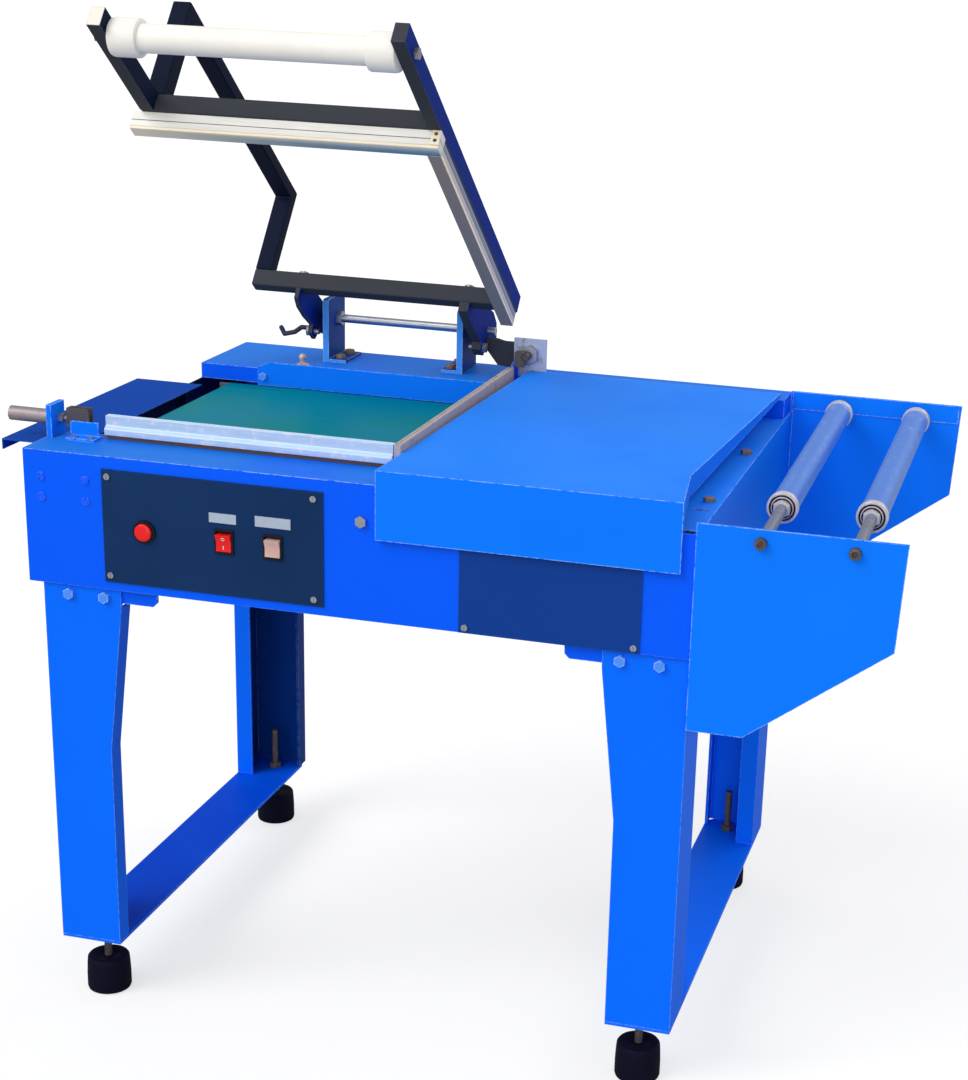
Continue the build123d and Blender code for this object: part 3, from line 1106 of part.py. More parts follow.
def footprint_middle():
    """Middle of the machine's footprint, where its own origin goes."""
    boxes = [solid.bounding_box() for solids in nodes.values() for solid in solids]
    x_middle = (min(box.min.X for box in boxes) + max(box.max.X for box in boxes)) / 2
    y_middle = (min(box.min.Y for box in boxes) + max(box.max.Y for box in boxes)) / 2
    return x_middle, y_middle


build()
middle = footprint_middle()
print("origin in the cabinet's frame:", [round(value, 3) for value in middle])
for name, solids in nodes.items():
    pieces = [Pos(-middle[0], -middle[1], 0) * piece for solid in solids for piece in solid.solids()]
    export_step(Compound(pieces), f"parts/{name}.step")
print("sub-parts:", len(nodes))
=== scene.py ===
"""Looks of an L bar sealer: a blue sheet metal machine on skid legs with a hinged sealing arm."""

import json
import math

import bpy
from bpy.props import FloatProperty, FloatVectorProperty, IntProperty
from mathutils import Matrix, Vector

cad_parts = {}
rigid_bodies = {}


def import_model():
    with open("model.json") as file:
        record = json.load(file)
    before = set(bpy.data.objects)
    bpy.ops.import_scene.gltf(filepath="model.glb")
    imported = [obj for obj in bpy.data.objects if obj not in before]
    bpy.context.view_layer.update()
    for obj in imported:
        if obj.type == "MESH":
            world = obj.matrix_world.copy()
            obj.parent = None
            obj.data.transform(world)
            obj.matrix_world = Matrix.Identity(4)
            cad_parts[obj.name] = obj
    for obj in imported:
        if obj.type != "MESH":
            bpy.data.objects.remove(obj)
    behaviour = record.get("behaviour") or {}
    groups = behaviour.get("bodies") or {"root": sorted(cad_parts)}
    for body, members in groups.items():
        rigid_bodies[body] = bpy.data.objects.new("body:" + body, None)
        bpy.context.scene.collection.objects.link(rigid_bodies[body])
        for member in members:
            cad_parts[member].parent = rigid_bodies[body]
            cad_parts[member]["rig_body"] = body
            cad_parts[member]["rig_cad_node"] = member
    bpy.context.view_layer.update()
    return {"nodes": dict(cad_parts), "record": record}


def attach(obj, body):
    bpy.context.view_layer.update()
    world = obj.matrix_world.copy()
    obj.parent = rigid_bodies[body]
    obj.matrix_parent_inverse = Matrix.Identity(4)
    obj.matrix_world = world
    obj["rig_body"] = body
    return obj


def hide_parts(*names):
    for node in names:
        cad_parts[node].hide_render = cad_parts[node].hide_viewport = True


bl_info = {
    "name": "L Bar Sealer",
    "version": (1, 0, 0),
    "blender": (4, 5, 0),
    "location": "View3D > Sidebar > Sealer",
    "description": "Dresses the frame of an L bar sealer with its painted, turned and moulded pieces",
    "category": "Add Mesh",
}

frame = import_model()
node_slots = {part["node"]: part["material_slot"] for part in frame["record"]["subparts"]}

# Places on the machine in metres, in the frame's own axes
HINGE = Vector((0.0, 0.283344, 0.8195))
ARM_OPEN = math.radians(39.1)
CORNER = Vector((-0.5105, -0.323156, 0.0))
TABLE = 0.751
PANEL_FACE = CORNER.y - 0.002
STOP_BUTTON = (CORNER.x + 0.1605, PANEL_FACE, TABLE - 0.089)
BALL = CORNER + Vector((0.154, 0.525, TABLE + 0.0105))
FEET_X = (0.017 + 0.046, 0.8425 - 0.046)
FEET_Y = (0.004 + 0.036, 0.652 - 0.036)

# Places on the closed arm: along the machine, forward of the hinge, and above the hinge
HANDLE_REACH, HANDLE_RISE = 0.662, -0.003
HANDLE_LEFT, HANDLE_RIGHT = 0.081 + 0.0175, 0.4537
JAW_END_LEFT, JAW_END_RIGHT = 0.4602, 0.4712
JAW_END_LOW, JAW_END_HIGH = -0.0342, -0.0142
JAW_FRONT = 0.526
JAW_SCREWS_RISE = (-0.0195, -0.0285)

# Distance within which two corners of a mesh are one
WELD = 1e-6

# The photograph's size, focal length and centre of projection in pixels, and the sensor in millimetres
PHOTO_WIDTH, PHOTO_HEIGHT = 968, 1080
FOCAL = 2065.3
CENTRE_X, CENTRE_Y = 590.9, 640.9
SENSOR = 36.0


def colour_property(name, default, description):
    """A colour that a user may change."""
    return FloatVectorProperty(name=name, description=description, default=default, subtype="COLOR", size=3,
                               min=0, max=1)


def length_property(name, default, description):
    """A length that a user may change."""
    return FloatProperty(name=name, description=description, default=default, unit="LENGTH", min=0)


def light_property(name, default, description):
    """A strength of light that a user may change."""
    return FloatProperty(name=name, description=description, default=default, min=0)


class SealerColours(bpy.types.PropertyGroup):
    """Colours of the machine's paints and plastics."""

    blue: colour_property("Blue paint", (0.0, 0.1, 0.92), "Gloss paint of the cabinet and the drive cover")
    # Lighter copy of the blue paint on the hood and the cradle: painted light against the cabinet front.
    bright: colour_property("Bright blue paint", (0.001, 0.18, 0.97),
                            "Fresher paint of the hood and the cradle")
    leg: colour_property("Leg paint", (0.0, 0.14, 0.97), "Paint of the legs and the skids")
    # Lighter blue for upward faces: painted top light, laid in patches like dust.
    dusty: colour_property("Dusty blue", (0.012, 0.225, 0.93),
                           "What the blue paint turns to where dust settles")
    tray: colour_property("Tray paint", (0.004, 0.058, 0.37), "Darker paint of the exit tray")
    panel: colour_property("Switch panel", (0.005, 0.029, 0.105), "Dark front of the switch panel")
    door: colour_property("Access panel", (0.004, 0.042, 0.26), "Dark blue of the panel under the hood")
    # Darkened blue: painted shade from the arm over the brackets.
    shaded_bracket: colour_property("Bracket paint", (0.008, 0.055, 0.26),
                             "Paint of the brackets that carry the arm")
    # Grey that stands in for the sheen on the arm's front and top faces: painted sheen over navy paint.
    arm: colour_property("Arm paint", (0.045, 0.049, 0.06), "Near black paint of the sealing arm")
    arm_side: colour_property("Arm side paint", (0.001, 0.022, 0.22), "Navy tint on the flanks of the arm")
    belt: colour_property("Belt", (0.0, 0.2, 0.285), "Teal of the conveyor belt")
    red: colour_property("Red plastic", (0.8, 0.01, 0.012), "Stop button and main rocker")
    pale: colour_property("Pale plastic", (0.62, 0.4, 0.36), "Rocker of the conveyor")
    white: colour_property("White plastic", (0.87, 0.85, 0.79), "Plastic pipe of the handle")
    rubber: colour_property("Foot rubber", (0.002, 0.003, 0.014), "Rubber of the feet")


class SealerSizes(bpy.types.PropertyGroup):
    """Sizes of the pieces that are modelled round the frame."""

    tube_round: length_property("Tube rounding", 0.0022, "Corner radius of the arm's rectangular tube")
    sheet_round: length_property("Sheet rounding", 0.0007, "Rounding of the cut edges of sheet metal")
    plate_round: length_property("Plate rounding", 0.001, "Rounding of the edges of bars and plates")
    bolt_round: length_property("Bolt rounding", 0.0005, "Rounding of bolt heads, nuts and switches")
    pipe_radius: length_property("Pipe radius", 0.017, "Radius of the handle's plastic pipe")
    cap_radius: length_property("Cap radius", 0.023, "Radius of the handle's end caps")
    cap_length: length_property("Cap length", 0.036, "Length of the handle's end caps")
    foot_radius: length_property("Foot radius", 0.029, "Radius of the rubber feet")
    foot_height: length_property("Foot height", 0.048, "Height of the rubber feet")
    rounds: IntProperty(name="Rounds", description="Sides of a turned piece", default=48, min=12, max=128)


class SealerStage(bpy.types.PropertyGroup):
    """The camera, the lamps and the floor."""

    azimuth: FloatProperty(name="Azimuth", description="Turn of the camera round the machine",
                           default=math.radians(13.8), unit="ROTATION")
    elevation: FloatProperty(name="Elevation", description="Angle that the camera looks down",
                             default=math.radians(19.6), unit="ROTATION")
    roll: FloatProperty(name="Roll", description="Turn of the camera about its own axis",
                        default=math.radians(2.2), unit="ROTATION")
    place: FloatVectorProperty(name="Place", description="Place of the camera",
                               default=(0.7563, -2.5317, 1.4002), subtype="TRANSLATION", unit="LENGTH")
    sky: light_property("Sky", 0.62, "Light from all round")
    glint: light_property("Glint", 0.4, "Light that the paint and the metal mirror")
    key: light_property("Key lamp", 1.45, "Light from the left in front, above")
    front: light_property("Front lamp", 1.1, "Low light from the front")
    back: light_property("Back lamp", 0.7, "Light from behind on the right")
    floor: length_property("Floor", 120.0, "Width of the floor")


# Shader maths

class Signal:
    """A value or colour socket that can be written in sums."""

    def __init__(self, finish, socket):
        self.finish = finish
        self.socket = socket

    def _sum(self, operation, first, second):
        return self.finish.node("ShaderNodeMath", {"operation": operation}, {0: first, 1: second})

    def __add__(self, other):
        return self._sum("ADD", self, other)

    def __radd__(self, other):
        return self._sum("ADD", other, self)

    def __sub__(self, other):
        return self._sum("SUBTRACT", self, other)

    def __rsub__(self, other):
        return self._sum("SUBTRACT", other, self)

    def __mul__(self, other):
        return self._sum("MULTIPLY", self, other)

    def __rmul__(self, other):
        return self._sum("MULTIPLY", other, self)


class Finish:
    """A material that is built up on one Principled shader."""

    def __init__(self, name):
        self.material = bpy.data.materials.new(name)
        self.material.use_nodes = True
        self.tree = self.material.node_tree
        self.tree.nodes.clear()
        self.shader = self.tree.nodes.new("ShaderNodeBsdfPrincipled")
        output = self.tree.nodes.new("ShaderNodeOutputMaterial")
        self.tree.links.new(self.shader.outputs[0], output.inputs["Surface"])
        self.place = self.node("ShaderNodeTexCoord", output="Object")
        self.turned = self.node("ShaderNodeTexCoord", output="Normal")

    def put(self, socket, value):
        """Links a signal to a socket, or sets the socket to a plain value."""
        if isinstance(value, Signal):
            self.tree.links.new(value.socket, socket)
        elif socket.type == "RGBA" and len(value) == 3:
            socket.default_value = (*value, 1.0)
        else:
            socket.default_value = value

    def node(self, kind, settings=None, sockets=None, output=0):
        """Adds a node, sets it, feeds its sockets and returns one of its outputs."""
        made = self.tree.nodes.new(kind)
        for key, value in (settings or {}).items():
            setattr(made, key, value)
        for key, value in (sockets or {}).items():
            self.put(made.inputs[key], value)
        return Signal(self, made.outputs[output])

    def set(self, **sockets):
        """Sets or feeds sockets of the shader, named with _ for a space."""
        for key, value in sockets.items():
            self.put(self.shader.inputs[key.replace("_", " ")], value)
        return self

    def noise(self, scale, detail=2.0, rough=0.5, stretch=None):
        """Cloudy pattern between 0 and 1, finer where the scale is larger."""
        place = self.place
        if stretch:
            place = self.node("ShaderNodeMapping", None, {"Vector": place, "Scale": stretch})
        return self.node("ShaderNodeTexNoise", None,
                         {"Vector": place, "Scale": scale, "Detail": detail, "Roughness": rough})

    def step(self, value, low, high):
        """Soft step from 0 at low to 1 at high."""
        return self.node("ShaderNodeMapRange", {"interpolation_type": "SMOOTHSTEP"},
                         {"Value": value, "From Min": low, "From Max": high, "To Min": 0.0, "To Max": 1.0})

    def mix(self, factor, first, second):
        """Blend of two colours."""
        return self.node("ShaderNodeMix", {"data_type": "RGBA"}, {0: factor, 6: first, 7: second}, output=2)

    def along(self, first, second):
        """How far one vector reaches along another."""
        return self.node("ShaderNodeVectorMath", {"operation": "DOT_PRODUCT"}, {0: first, 1: second},
                         output="Value")

    def edges(self, radius):
        """1 on the edges of the shape and 0 on its faces."""
        soft = self.node("ShaderNodeBevel", {"samples": 4}, {"Radius": radius})
        hard = self.node("ShaderNodeNewGeometry", output="Normal")
        return self.step(1.0 - self.along(soft, hard), 0.02, 0.25)

    def facing(self, axis):
        """How far the surface faces along one of the piece's own axes, either way for X and Y."""
        part = self.node("ShaderNodeSeparateXYZ", None, {0: self.turned}, output=axis)
        return part if axis == "Z" else self.node("ShaderNodeMath", {"operation": "ABSOLUTE"}, {0: part})

    def band(self, direction, low, high):
        """1 between two planes across a direction, and 0 outside them."""
        reach = self.along(self.place, direction)
        soft = 0.0002
        return self.step(reach, low - soft, low + soft) * (1.0 - self.step(reach, high - soft, high + soft))

    def banded(self, tone, bands):
        """Lays flat bands of other colours over a tone, each with its direction and its two planes.

        A band that ends with a second direction stays on the faces that look that way.
        """
        for direction, low, high, colour, *towards in bands:
            mask = self.band(direction, low, high)
            if towards:
                mask = mask * self.step(self.along(self.turned, towards[0]), 0.6, 0.8)
            tone = self.mix(mask, tone, colour)
        return tone

    def bump(self, height, strength, distance):
        """Feeds a small relief to the surface."""
        return self.set(Normal=self.node("ShaderNodeBump", None, {"Height": height, "Strength": strength,
                                                                  "Distance": distance}))


def shade(colour, factor):
    """A colour made lighter or darker."""
    return tuple(min(1.0, channel * factor) for channel in colour)


def enamel(name, colour, worn, top=None, flank=None, face=None, inside=None, edge_wear_and_highlight=0.5, edge_wear_and_highlight_from=None,
           dirt=0.25, rough=0.42, gloss=0.08, mottle=0.06):
    """Sprayed paint: orange peel, faint clouds, a top tone of painted light and dust (of painted shade on
    the skids), specks, and edges that are worn and carry a painted highlight.

    Top, flank and face are the tones that look along Z, X and Y, inside is a box darkened as painted shade,
    and edge_wear_and_highlight_from is the height below which the worn edges and their painted highlight are
    fainter.
    """
    finish = Finish(name)
    cloud = finish.noise(5.0, 3.0)
    fine = finish.noise(160.0, 3.0, 0.6)
    tone = finish.mix(cloud, shade(colour, 1.0 - mottle), shade(colour, 1.0 + mottle))
    if flank:
        tone = finish.mix(finish.step(finish.facing("X"), 0.35, 0.8), tone, flank)
    if face:
        tone = finish.mix(finish.step(finish.facing("Y"), 0.68, 0.75), tone, face)
    # Upward faces take the top tone in cloudy patches: painted light with dust, painted shade on the skids.
    if top:
        top_shading_and_dust = finish.step(finish.facing("Z"), 0.5, 0.95) * finish.step(cloud, 0.1, 0.6)
        tone = finish.mix(top_shading_and_dust, tone, top)
    # Faces in the box are darkened: painted shade.
    if inside:
        low, high, painted_shade_factor = inside
        painted_shade_mask = finish.band((1, 0, 0), low.x, high.x) * finish.band((0, 1, 0), low.y, high.y)
        painted_shade_mask = painted_shade_mask * finish.band((0, 0, 1), low.z, high.z)
        tone = finish.mix(painted_shade_mask, tone, shade(colour, painted_shade_factor))
    specks = finish.step(finish.noise(420.0, 2.0, 0.7), 0.66, 0.74)
    specks = specks * finish.step(finish.noise(14.0), 0.42, 0.62)
    tone = finish.mix(specks * dirt, tone, shade(colour, 0.25))
    # Lighter tone along the edges: worn paint that also serves as a painted highlight.
    worn_and_lit_edges = finish.edges(0.002) * finish.step(fine, 0.38, 0.54) * edge_wear_and_highlight
    if edge_wear_and_highlight_from:
        worn_and_lit_edges = worn_and_lit_edges * (finish.band((0, 0, 1), edge_wear_and_highlight_from, 2.0) * 0.8 + 0.2)
    tone = finish.mix(worn_and_lit_edges, tone, worn)
    finish.set(Base_Color=tone, Roughness=fine * 0.12 + rough, Specular_IOR_Level=gloss)
    return finish.bump(finish.noise(520.0, 2.0), 0.12, 0.0004).material


def metal(name, colour, rough=0.32, stain=(0.25, 0.14, 0.08), rust=0.0, grain=(1.0, 1.0, 1.0), metallic=1.0,
          bands=()):
    """Bare or plated metal with a drawn grain, smudges and, where rust is set, brown stains."""
    finish = Finish(name)
    drawn = finish.noise(300.0, 4.0, 0.6, grain)
    smudge = finish.noise(24.0, 3.0)
    tone = finish.mix(drawn, shade(colour, 0.8), shade(colour, 1.12))
    spots = finish.step(finish.noise(90.0, 4.0, 0.65), 0.62 - rust * 0.3, 0.74 - rust * 0.2)
    spots = spots * min(1.0, rust * 2)
    tone = finish.banded(finish.mix(spots, tone, stain), bands)
    finish.set(Base_Color=tone, Roughness=smudge * 0.2 + drawn * 0.1 + (rough - 0.1) + spots * 0.3)
    finish.set(Metallic=metallic * (1.0 - spots * 0.8))
    return finish.bump(drawn, 0.15, 0.0003).material


def moulded(name, colour, rough=0.4, grain=700.0, relief=0.08, dust=(0.4, 0.4, 0.42), dusty=0.12, gloss=0.35,
            bands=()):
    """Moulded plastic or rubber with a fine texture, dust and a few scuffs."""
    finish = Finish(name)
    fine = finish.noise(grain, 2.0, 0.6)
    cloud = finish.noise(18.0, 3.0)
    tone = finish.mix(cloud, shade(colour, 0.88), shade(colour, 1.08))
    scuffs = finish.step(finish.noise(60.0, 5.0, 0.7, (1.0, 5.0, 1.0)), 0.6, 0.75)
    tone = finish.banded(finish.mix(scuffs * dusty, tone, dust), bands)
    finish.set(Base_Color=tone, Roughness=cloud * 0.15 + scuffs * 0.2 + rough)
    finish.set(Specular_IOR_Level=gloss)
    return finish.bump(fine, relief, 0.0004).material


def belting(name, colour):
    """Coated belt: greener worn patches, lengthwise rubs, dust and a woven backing under the coat."""
    finish = Finish(name)
    patch = finish.noise(7.0, 4.0, 0.6)
    tone = finish.mix(finish.step(patch, 0.4, 0.66), colour, (colour[0], colour[1] * 1.05, colour[2] * 0.82))
    rubs = finish.step(finish.noise(40.0, 4.0, 0.7, (0.12, 1.0, 1.0)), 0.56, 0.72)
    tone = finish.mix(rubs * 0.3, tone, (0.03, 0.27, 0.36))
    specks = finish.step(finish.noise(600.0, 2.0, 0.7), 0.68, 0.76)
    tone = finish.mix(specks * 0.5, tone, (0.02, 0.06, 0.1))
    threads = [finish.node("ShaderNodeTexWave", {"bands_direction": axis},
                           {"Vector": finish.place, "Scale": 260.0}) for axis in "XY"]
    cloth = finish.node("ShaderNodeMath", {"operation": "MAXIMUM"}, dict(enumerate(threads)))
    finish.set(Base_Color=tone, Roughness=rubs * 0.2 + 0.34, Specular_IOR_Level=0.03)
    return finish.bump(cloth * 0.4 + patch, 0.12, 0.0005).material


def board(name, colour):
    """Pressed insulating board with short fibres."""
    finish = Finish(name)
    fibres = finish.noise(240.0, 5.0, 0.7, (0.2, 1.0, 3.0))
    tone = finish.mix(fibres, shade(colour, 0.7), shade(colour, 1.25))
    finish.set(Base_Color=tone, Roughness=fibres * 0.2 + 0.55)
    return finish.bump(fibres, 0.3, 0.0004).material


def make_finishes():
    """All the finishes of the machine, named as its material slots are."""
    paint = bpy.context.scene.sealer_colours
    # Edge tones: worn paint, lightened to serve as a painted highlight along the edges.
    pale_wear_and_highlight, dark_wear_and_highlight = (0.55, 0.75, 1.0), (0.16, 0.18, 0.24)
    arm_up = Vector((0.0, math.sin(ARM_OPEN), math.cos(ARM_OPEN)))
    arm_out = Vector((0.0, -math.cos(ARM_OPEN), math.sin(ARM_OPEN)))
    hinge_up = HINGE.dot(arm_up)
    pad_front = HINGE.dot(arm_out) + 0.5075
    # Boxes darkened as painted shade, each with its factor: the cabinet's walls, the tray's hem, a leg's
    # channel
    walls = (CORNER + Vector((0.001, 0.001, 0.1)), CORNER + Vector((0.84, 0.645, TABLE - 0.0015)), 0.06)
    hem = (CORNER + Vector((0.03, 0.0, 0.1)), CORNER + Vector((0.06, 0.7, TABLE - 0.0085)), 0.06)
    leg_size, leg_middle = extent(frame["nodes"]["leg_back_left"])
    channel = (leg_middle - leg_size / 2 + Vector((0.0012, 0.0032, 0.0)),
               leg_middle + leg_size / 2 + Vector((0.01, -0.0012, 0.0)), 0.22)
    # Lighter tone for upward faces: painted top light with dust.
    dust = shade(paint.dusty, 0.8)
    tube = {"edge_wear_and_highlight": 0.6, "rough": 0.5, "gloss": 0.05}
    return {
        "blue_paint": enamel("Blue_enamel", paint.blue, pale_wear_and_highlight, top=dust, edge_wear_and_highlight=0.75),
        "cabinet_paint": enamel("Cabinet_enamel", paint.blue, pale_wear_and_highlight, top=dust, edge_wear_and_highlight=1.0,
                                edge_wear_and_highlight_from=TABLE - 0.006, inside=walls),
        "bright_paint": enamel("Lit_blue_enamel", paint.bright, pale_wear_and_highlight, top=paint.dusty, edge_wear_and_highlight=0.85),
        "leg_paint": enamel("Leg_enamel", paint.leg, pale_wear_and_highlight, edge_wear_and_highlight=0.4),
        "leg_shade": enamel("Leg_shade_enamel", paint.leg, pale_wear_and_highlight, edge_wear_and_highlight=0.4, inside=channel),
        # Darker tone on the skids' tops: painted shade.
        "skid_paint": enamel("Skid_shaded_top_enamel", paint.leg, pale_wear_and_highlight, top=(0.0, 0.06, 0.62), edge_wear_and_highlight=0.4,
                             gloss=0.03),
        "tray_paint": enamel("Tray_enamel", paint.tray, (0.12, 0.3, 0.7), edge_wear_and_highlight=0.8, rough=0.5, gloss=0.02,
                             inside=hem),
        "dark_panel": enamel("Panel_enamel", paint.panel, (0.05, 0.12, 0.3), edge_wear_and_highlight=0.4, rough=0.45,
                             mottle=0.3),
        "door_paint": enamel("Door_enamel", paint.door, (0.05, 0.15, 0.5), edge_wear_and_highlight=0.4, rough=0.4),
        # The brackets' darker blue is painted shade; faces that look along Y keep a lighter blue.
        "bracket_paint": enamel("Shaded_bracket_enamel", paint.shaded_bracket, (0.5, 0.68, 0.95), edge_wear_and_highlight=1.0, dirt=0.7,
                                face=(0.06, 0.29, 0.78)),
        # Grey on faces other than the flanks is painted sheen; the flanks keep the navy paint.
        "arm_paint": enamel("Arm_sheen_enamel", paint.arm, dark_wear_and_highlight, flank=paint.arm_side, **tube),
        "prong_paint": enamel("Prong_enamel", paint.arm, dark_wear_and_highlight, flank=(0.003, 0.008, 0.035),
                              face=(0.85, 0.76, 0.68), **tube),
        "neck_paint": enamel("Neck_enamel", (0.006, 0.01, 0.028), dark_wear_and_highlight, **tube),
        "bolt_paint": enamel("Bolt_enamel", (0.07, 0.27, 0.85), (0.75, 0.85, 1.0), edge_wear_and_highlight=1.0, dirt=0.6),
        "zinc": metal("Zinc_plate", (0.42, 0.41, 0.43), 0.42, rust=0.35),
        "rusty": metal("Rusty_plate", (0.34, 0.3, 0.28), 0.5, rust=0.8),
        "dark_steel": metal("Dark_steel", (0.1, 0.09, 0.095), 0.5, rust=0.35, metallic=0.5),
        "pale_plate": metal("Pale_plate", (0.46, 0.52, 0.68), 0.5, stain=(0.2, 0.14, 0.12), rust=0.3,
                            metallic=0.1),
        "axle_steel": metal("Axle_steel", (0.22, 0.26, 0.36), 0.42, rust=0.35, metallic=0.5),
        "dull_tube": metal("Dull_tube", (0.38, 0.33, 0.34), 0.5, rust=0.3, metallic=0.7),
        "bright_steel": metal("Bright_steel", (0.5, 0.52, 0.58), 0.34, rust=0.1),
        "bar_metal": metal("Bar_aluminium", (0.5, 0.66, 0.84), 0.42, stain=(0.72, 0.7, 0.74), rust=0.35,
                           grain=(0.05, 1.0, 1.0), metallic=0.3),
        "side_bar_metal": metal("Side_bar_aluminium", (0.5, 0.43, 0.42), 0.45, stain=(0.2, 0.16, 0.17),
                                rust=0.3, grain=(1.0, 0.05, 1.0), metallic=0.3),
        "jaw_metal": metal("Jaw_aluminium", (0.82, 0.8, 0.75), 0.45, grain=(0.05, 1.0, 1.0), metallic=0.1,
                           bands=[(arm_up, hinge_up - 0.0261, hinge_up - 0.0251, (0.03, 0.03, 0.035))]),
        "side_jaw_metal": metal("Side_jaw_aluminium", (0.66, 0.58, 0.58), 0.5, rust=0.2, metallic=0.1, bands=[
            (arm_up, hinge_up - 0.0274, hinge_up - 0.0265, (0.04, 0.035, 0.04)),
            (arm_up, hinge_up - 0.0265, hinge_up - 0.0208, (0.26, 0.27, 0.33)),
            # Light blue band: a painted highlight along the jaw's edge.
            (arm_up, hinge_up - 0.0208, hinge_up - 0.0192, (0.24, 0.42, 0.75)),
            # Near black band: painted shade in the gap between the jaw and the tube.
            (arm_up, hinge_up - 0.0192, hinge_up - 0.013, (0.008, 0.01, 0.02))]),
        "jaw_rubber": moulded("Jaw_silicone", (0.97, 0.84, 0.64), 0.5,
                              # Grey brown on the pads' downward faces: painted shade under the pads.
                              bands=[(arm_out, -9.0, pad_front, (0.34, 0.26, 0.21), -arm_up)]),
        "white_plastic": moulded("Pipe_plastic", paint.white, 0.36, dust=(0.5, 0.48, 0.45), dusty=0.25),
        "belt_rubber": belting("Belt_coat", paint.belt),
        "foot_rubber": moulded("Foot_rubber", paint.rubber, 0.6, grain=300.0, relief=0.3,
                               dust=(0.012, 0.016, 0.05), dusty=0.3, gloss=0.1),
        "red_plastic": moulded("Red_plastic", paint.red, 0.26),
        "black_plastic": moulded("Black_plastic", (0.006, 0.007, 0.012), 0.4, gloss=0.2),
        "pale_plastic": moulded("Pale_plastic", paint.pale, 0.35),
        "mark_white": moulded("Mark_white", (0.85, 0.85, 0.85), 0.5),
        "label_plastic": metal("Label_foil", (0.42, 0.5, 0.62), 0.4, metallic=0.2),
        # The rollers' blue is a painted reflection of the blue machine round them.
        "roller_steel": metal("Roller_blue_reflection", (0.085, 0.25, 0.8), 0.34, stain=(0.6, 0.72, 0.95), rust=0.16,
                              metallic=0.25),
        "bearing_steel": metal("Bearing_steel", (0.74, 0.7, 0.7), 0.36, rust=0.3, metallic=0.5),
        "stained_zinc": metal("Stained_zinc", (0.62, 0.5, 0.45), 0.5, rust=0.55, metallic=0.3),
        "strip_board": board("Strip_board", (0.14, 0.07, 0.04)),
        "motor_paint": enamel("Motor_enamel", (0.1, 0.11, 0.12), (0.5, 0.56, 0.66), edge_wear_and_highlight=0.4, rough=0.5),
    }


# Nodes whose own finish differs from that of their slot
own_finish = {
    "cabinet": "cabinet_paint", "arm_prong": "prong_paint", "arm_goose_neck": "neck_paint",
    "side_jaw": "side_jaw_metal", "side_seal_bar": "side_bar_metal", "front_screws": "bright_steel",
    "film_axles": "axle_steel", "access_door": "door_paint", "hinge_brackets": "bracket_paint",
    "work_table": "bright_paint", "film_cradle": "bright_paint", "guard_plate": "bright_paint",
    "leg_front_left": "leg_paint", "leg_back_left": "leg_shade", "leg_front_right": "leg_paint",
    "leg_back_right": "leg_paint", "skid_left": "skid_paint", "skid_right": "leg_paint",
}

# Bolts with one finish before a plane and another past it: its axis, its place and the two finishes
two_finishes = {
    "leg_fasteners": (2, 0.3, "dark_steel", "bolt_paint"),
    "cradle_bolts": (0, 0.36, "rusty", "dark_steel"),
    "cover_fittings": (1, 0.19, "bolt_paint", "rusty"),
}
finishes = {}


def coat(piece, slot, finish=None):
    """Gives a piece one finish: the one named, else that of the record's slot that it goes with."""
    piece.data.materials.clear()
    piece.data.materials.append(finishes[finish or slot])


# Modelling by operators

def turn_about(pivot, angle):
    """Turn about a line along the machine that runs through a pivot."""
    return Matrix.Translation(pivot) @ Matrix.Rotation(angle, 4, "X") @ Matrix.Translation(-pivot)


def alone(piece):
    """Selects one piece and nothing else."""
    bpy.ops.object.select_all(action="DESELECT")
    piece.select_set(True)
    bpy.context.view_layer.objects.active = piece


def settle(piece):
    """Puts a piece's place, turn and size into its mesh."""
    alone(piece)
    bpy.ops.object.transform_apply(location=True, rotation=True, scale=True)
    return piece


def finish_modifier(piece, kind, **settings):
    """Adds a modifier with its settings and applies it."""
    alone(piece)
    made = piece.modifiers.new(kind.title().replace("_", " "), kind)
    for key, value in settings.items():
        setattr(made, key, value)
    bpy.ops.object.modifier_apply(modifier=made.name)


def smooth(piece, degrees=35.0):
    """Shades the gentle angles of a piece smooth."""
    alone(piece)
    bpy.ops.object.shade_smooth_by_angle(angle=math.radians(degrees))


def soften(piece, width, segments=2, degrees=35.0):
    """Rounds the sharp edges of a piece."""
    finish_modifier(piece, "BEVEL", width=width, segments=segments, limit_method="ANGLE",
                    angle_limit=math.radians(degrees))
    smooth(piece)
    finish_modifier(piece, "WEIGHTED_NORMAL", keep_sharp=True)
    return piece


def box_piece(name, low, high):
    """Block between two corners."""
    low = Vector(low)
    high = Vector(high)
    bpy.ops.object.select_all(action="DESELECT")
    bpy.ops.mesh.primitive_cube_add(size=1.0, location=(low + high) / 2)
    piece = bpy.context.active_object
    piece.name = name
    piece.scale = high - low
    return settle(piece)


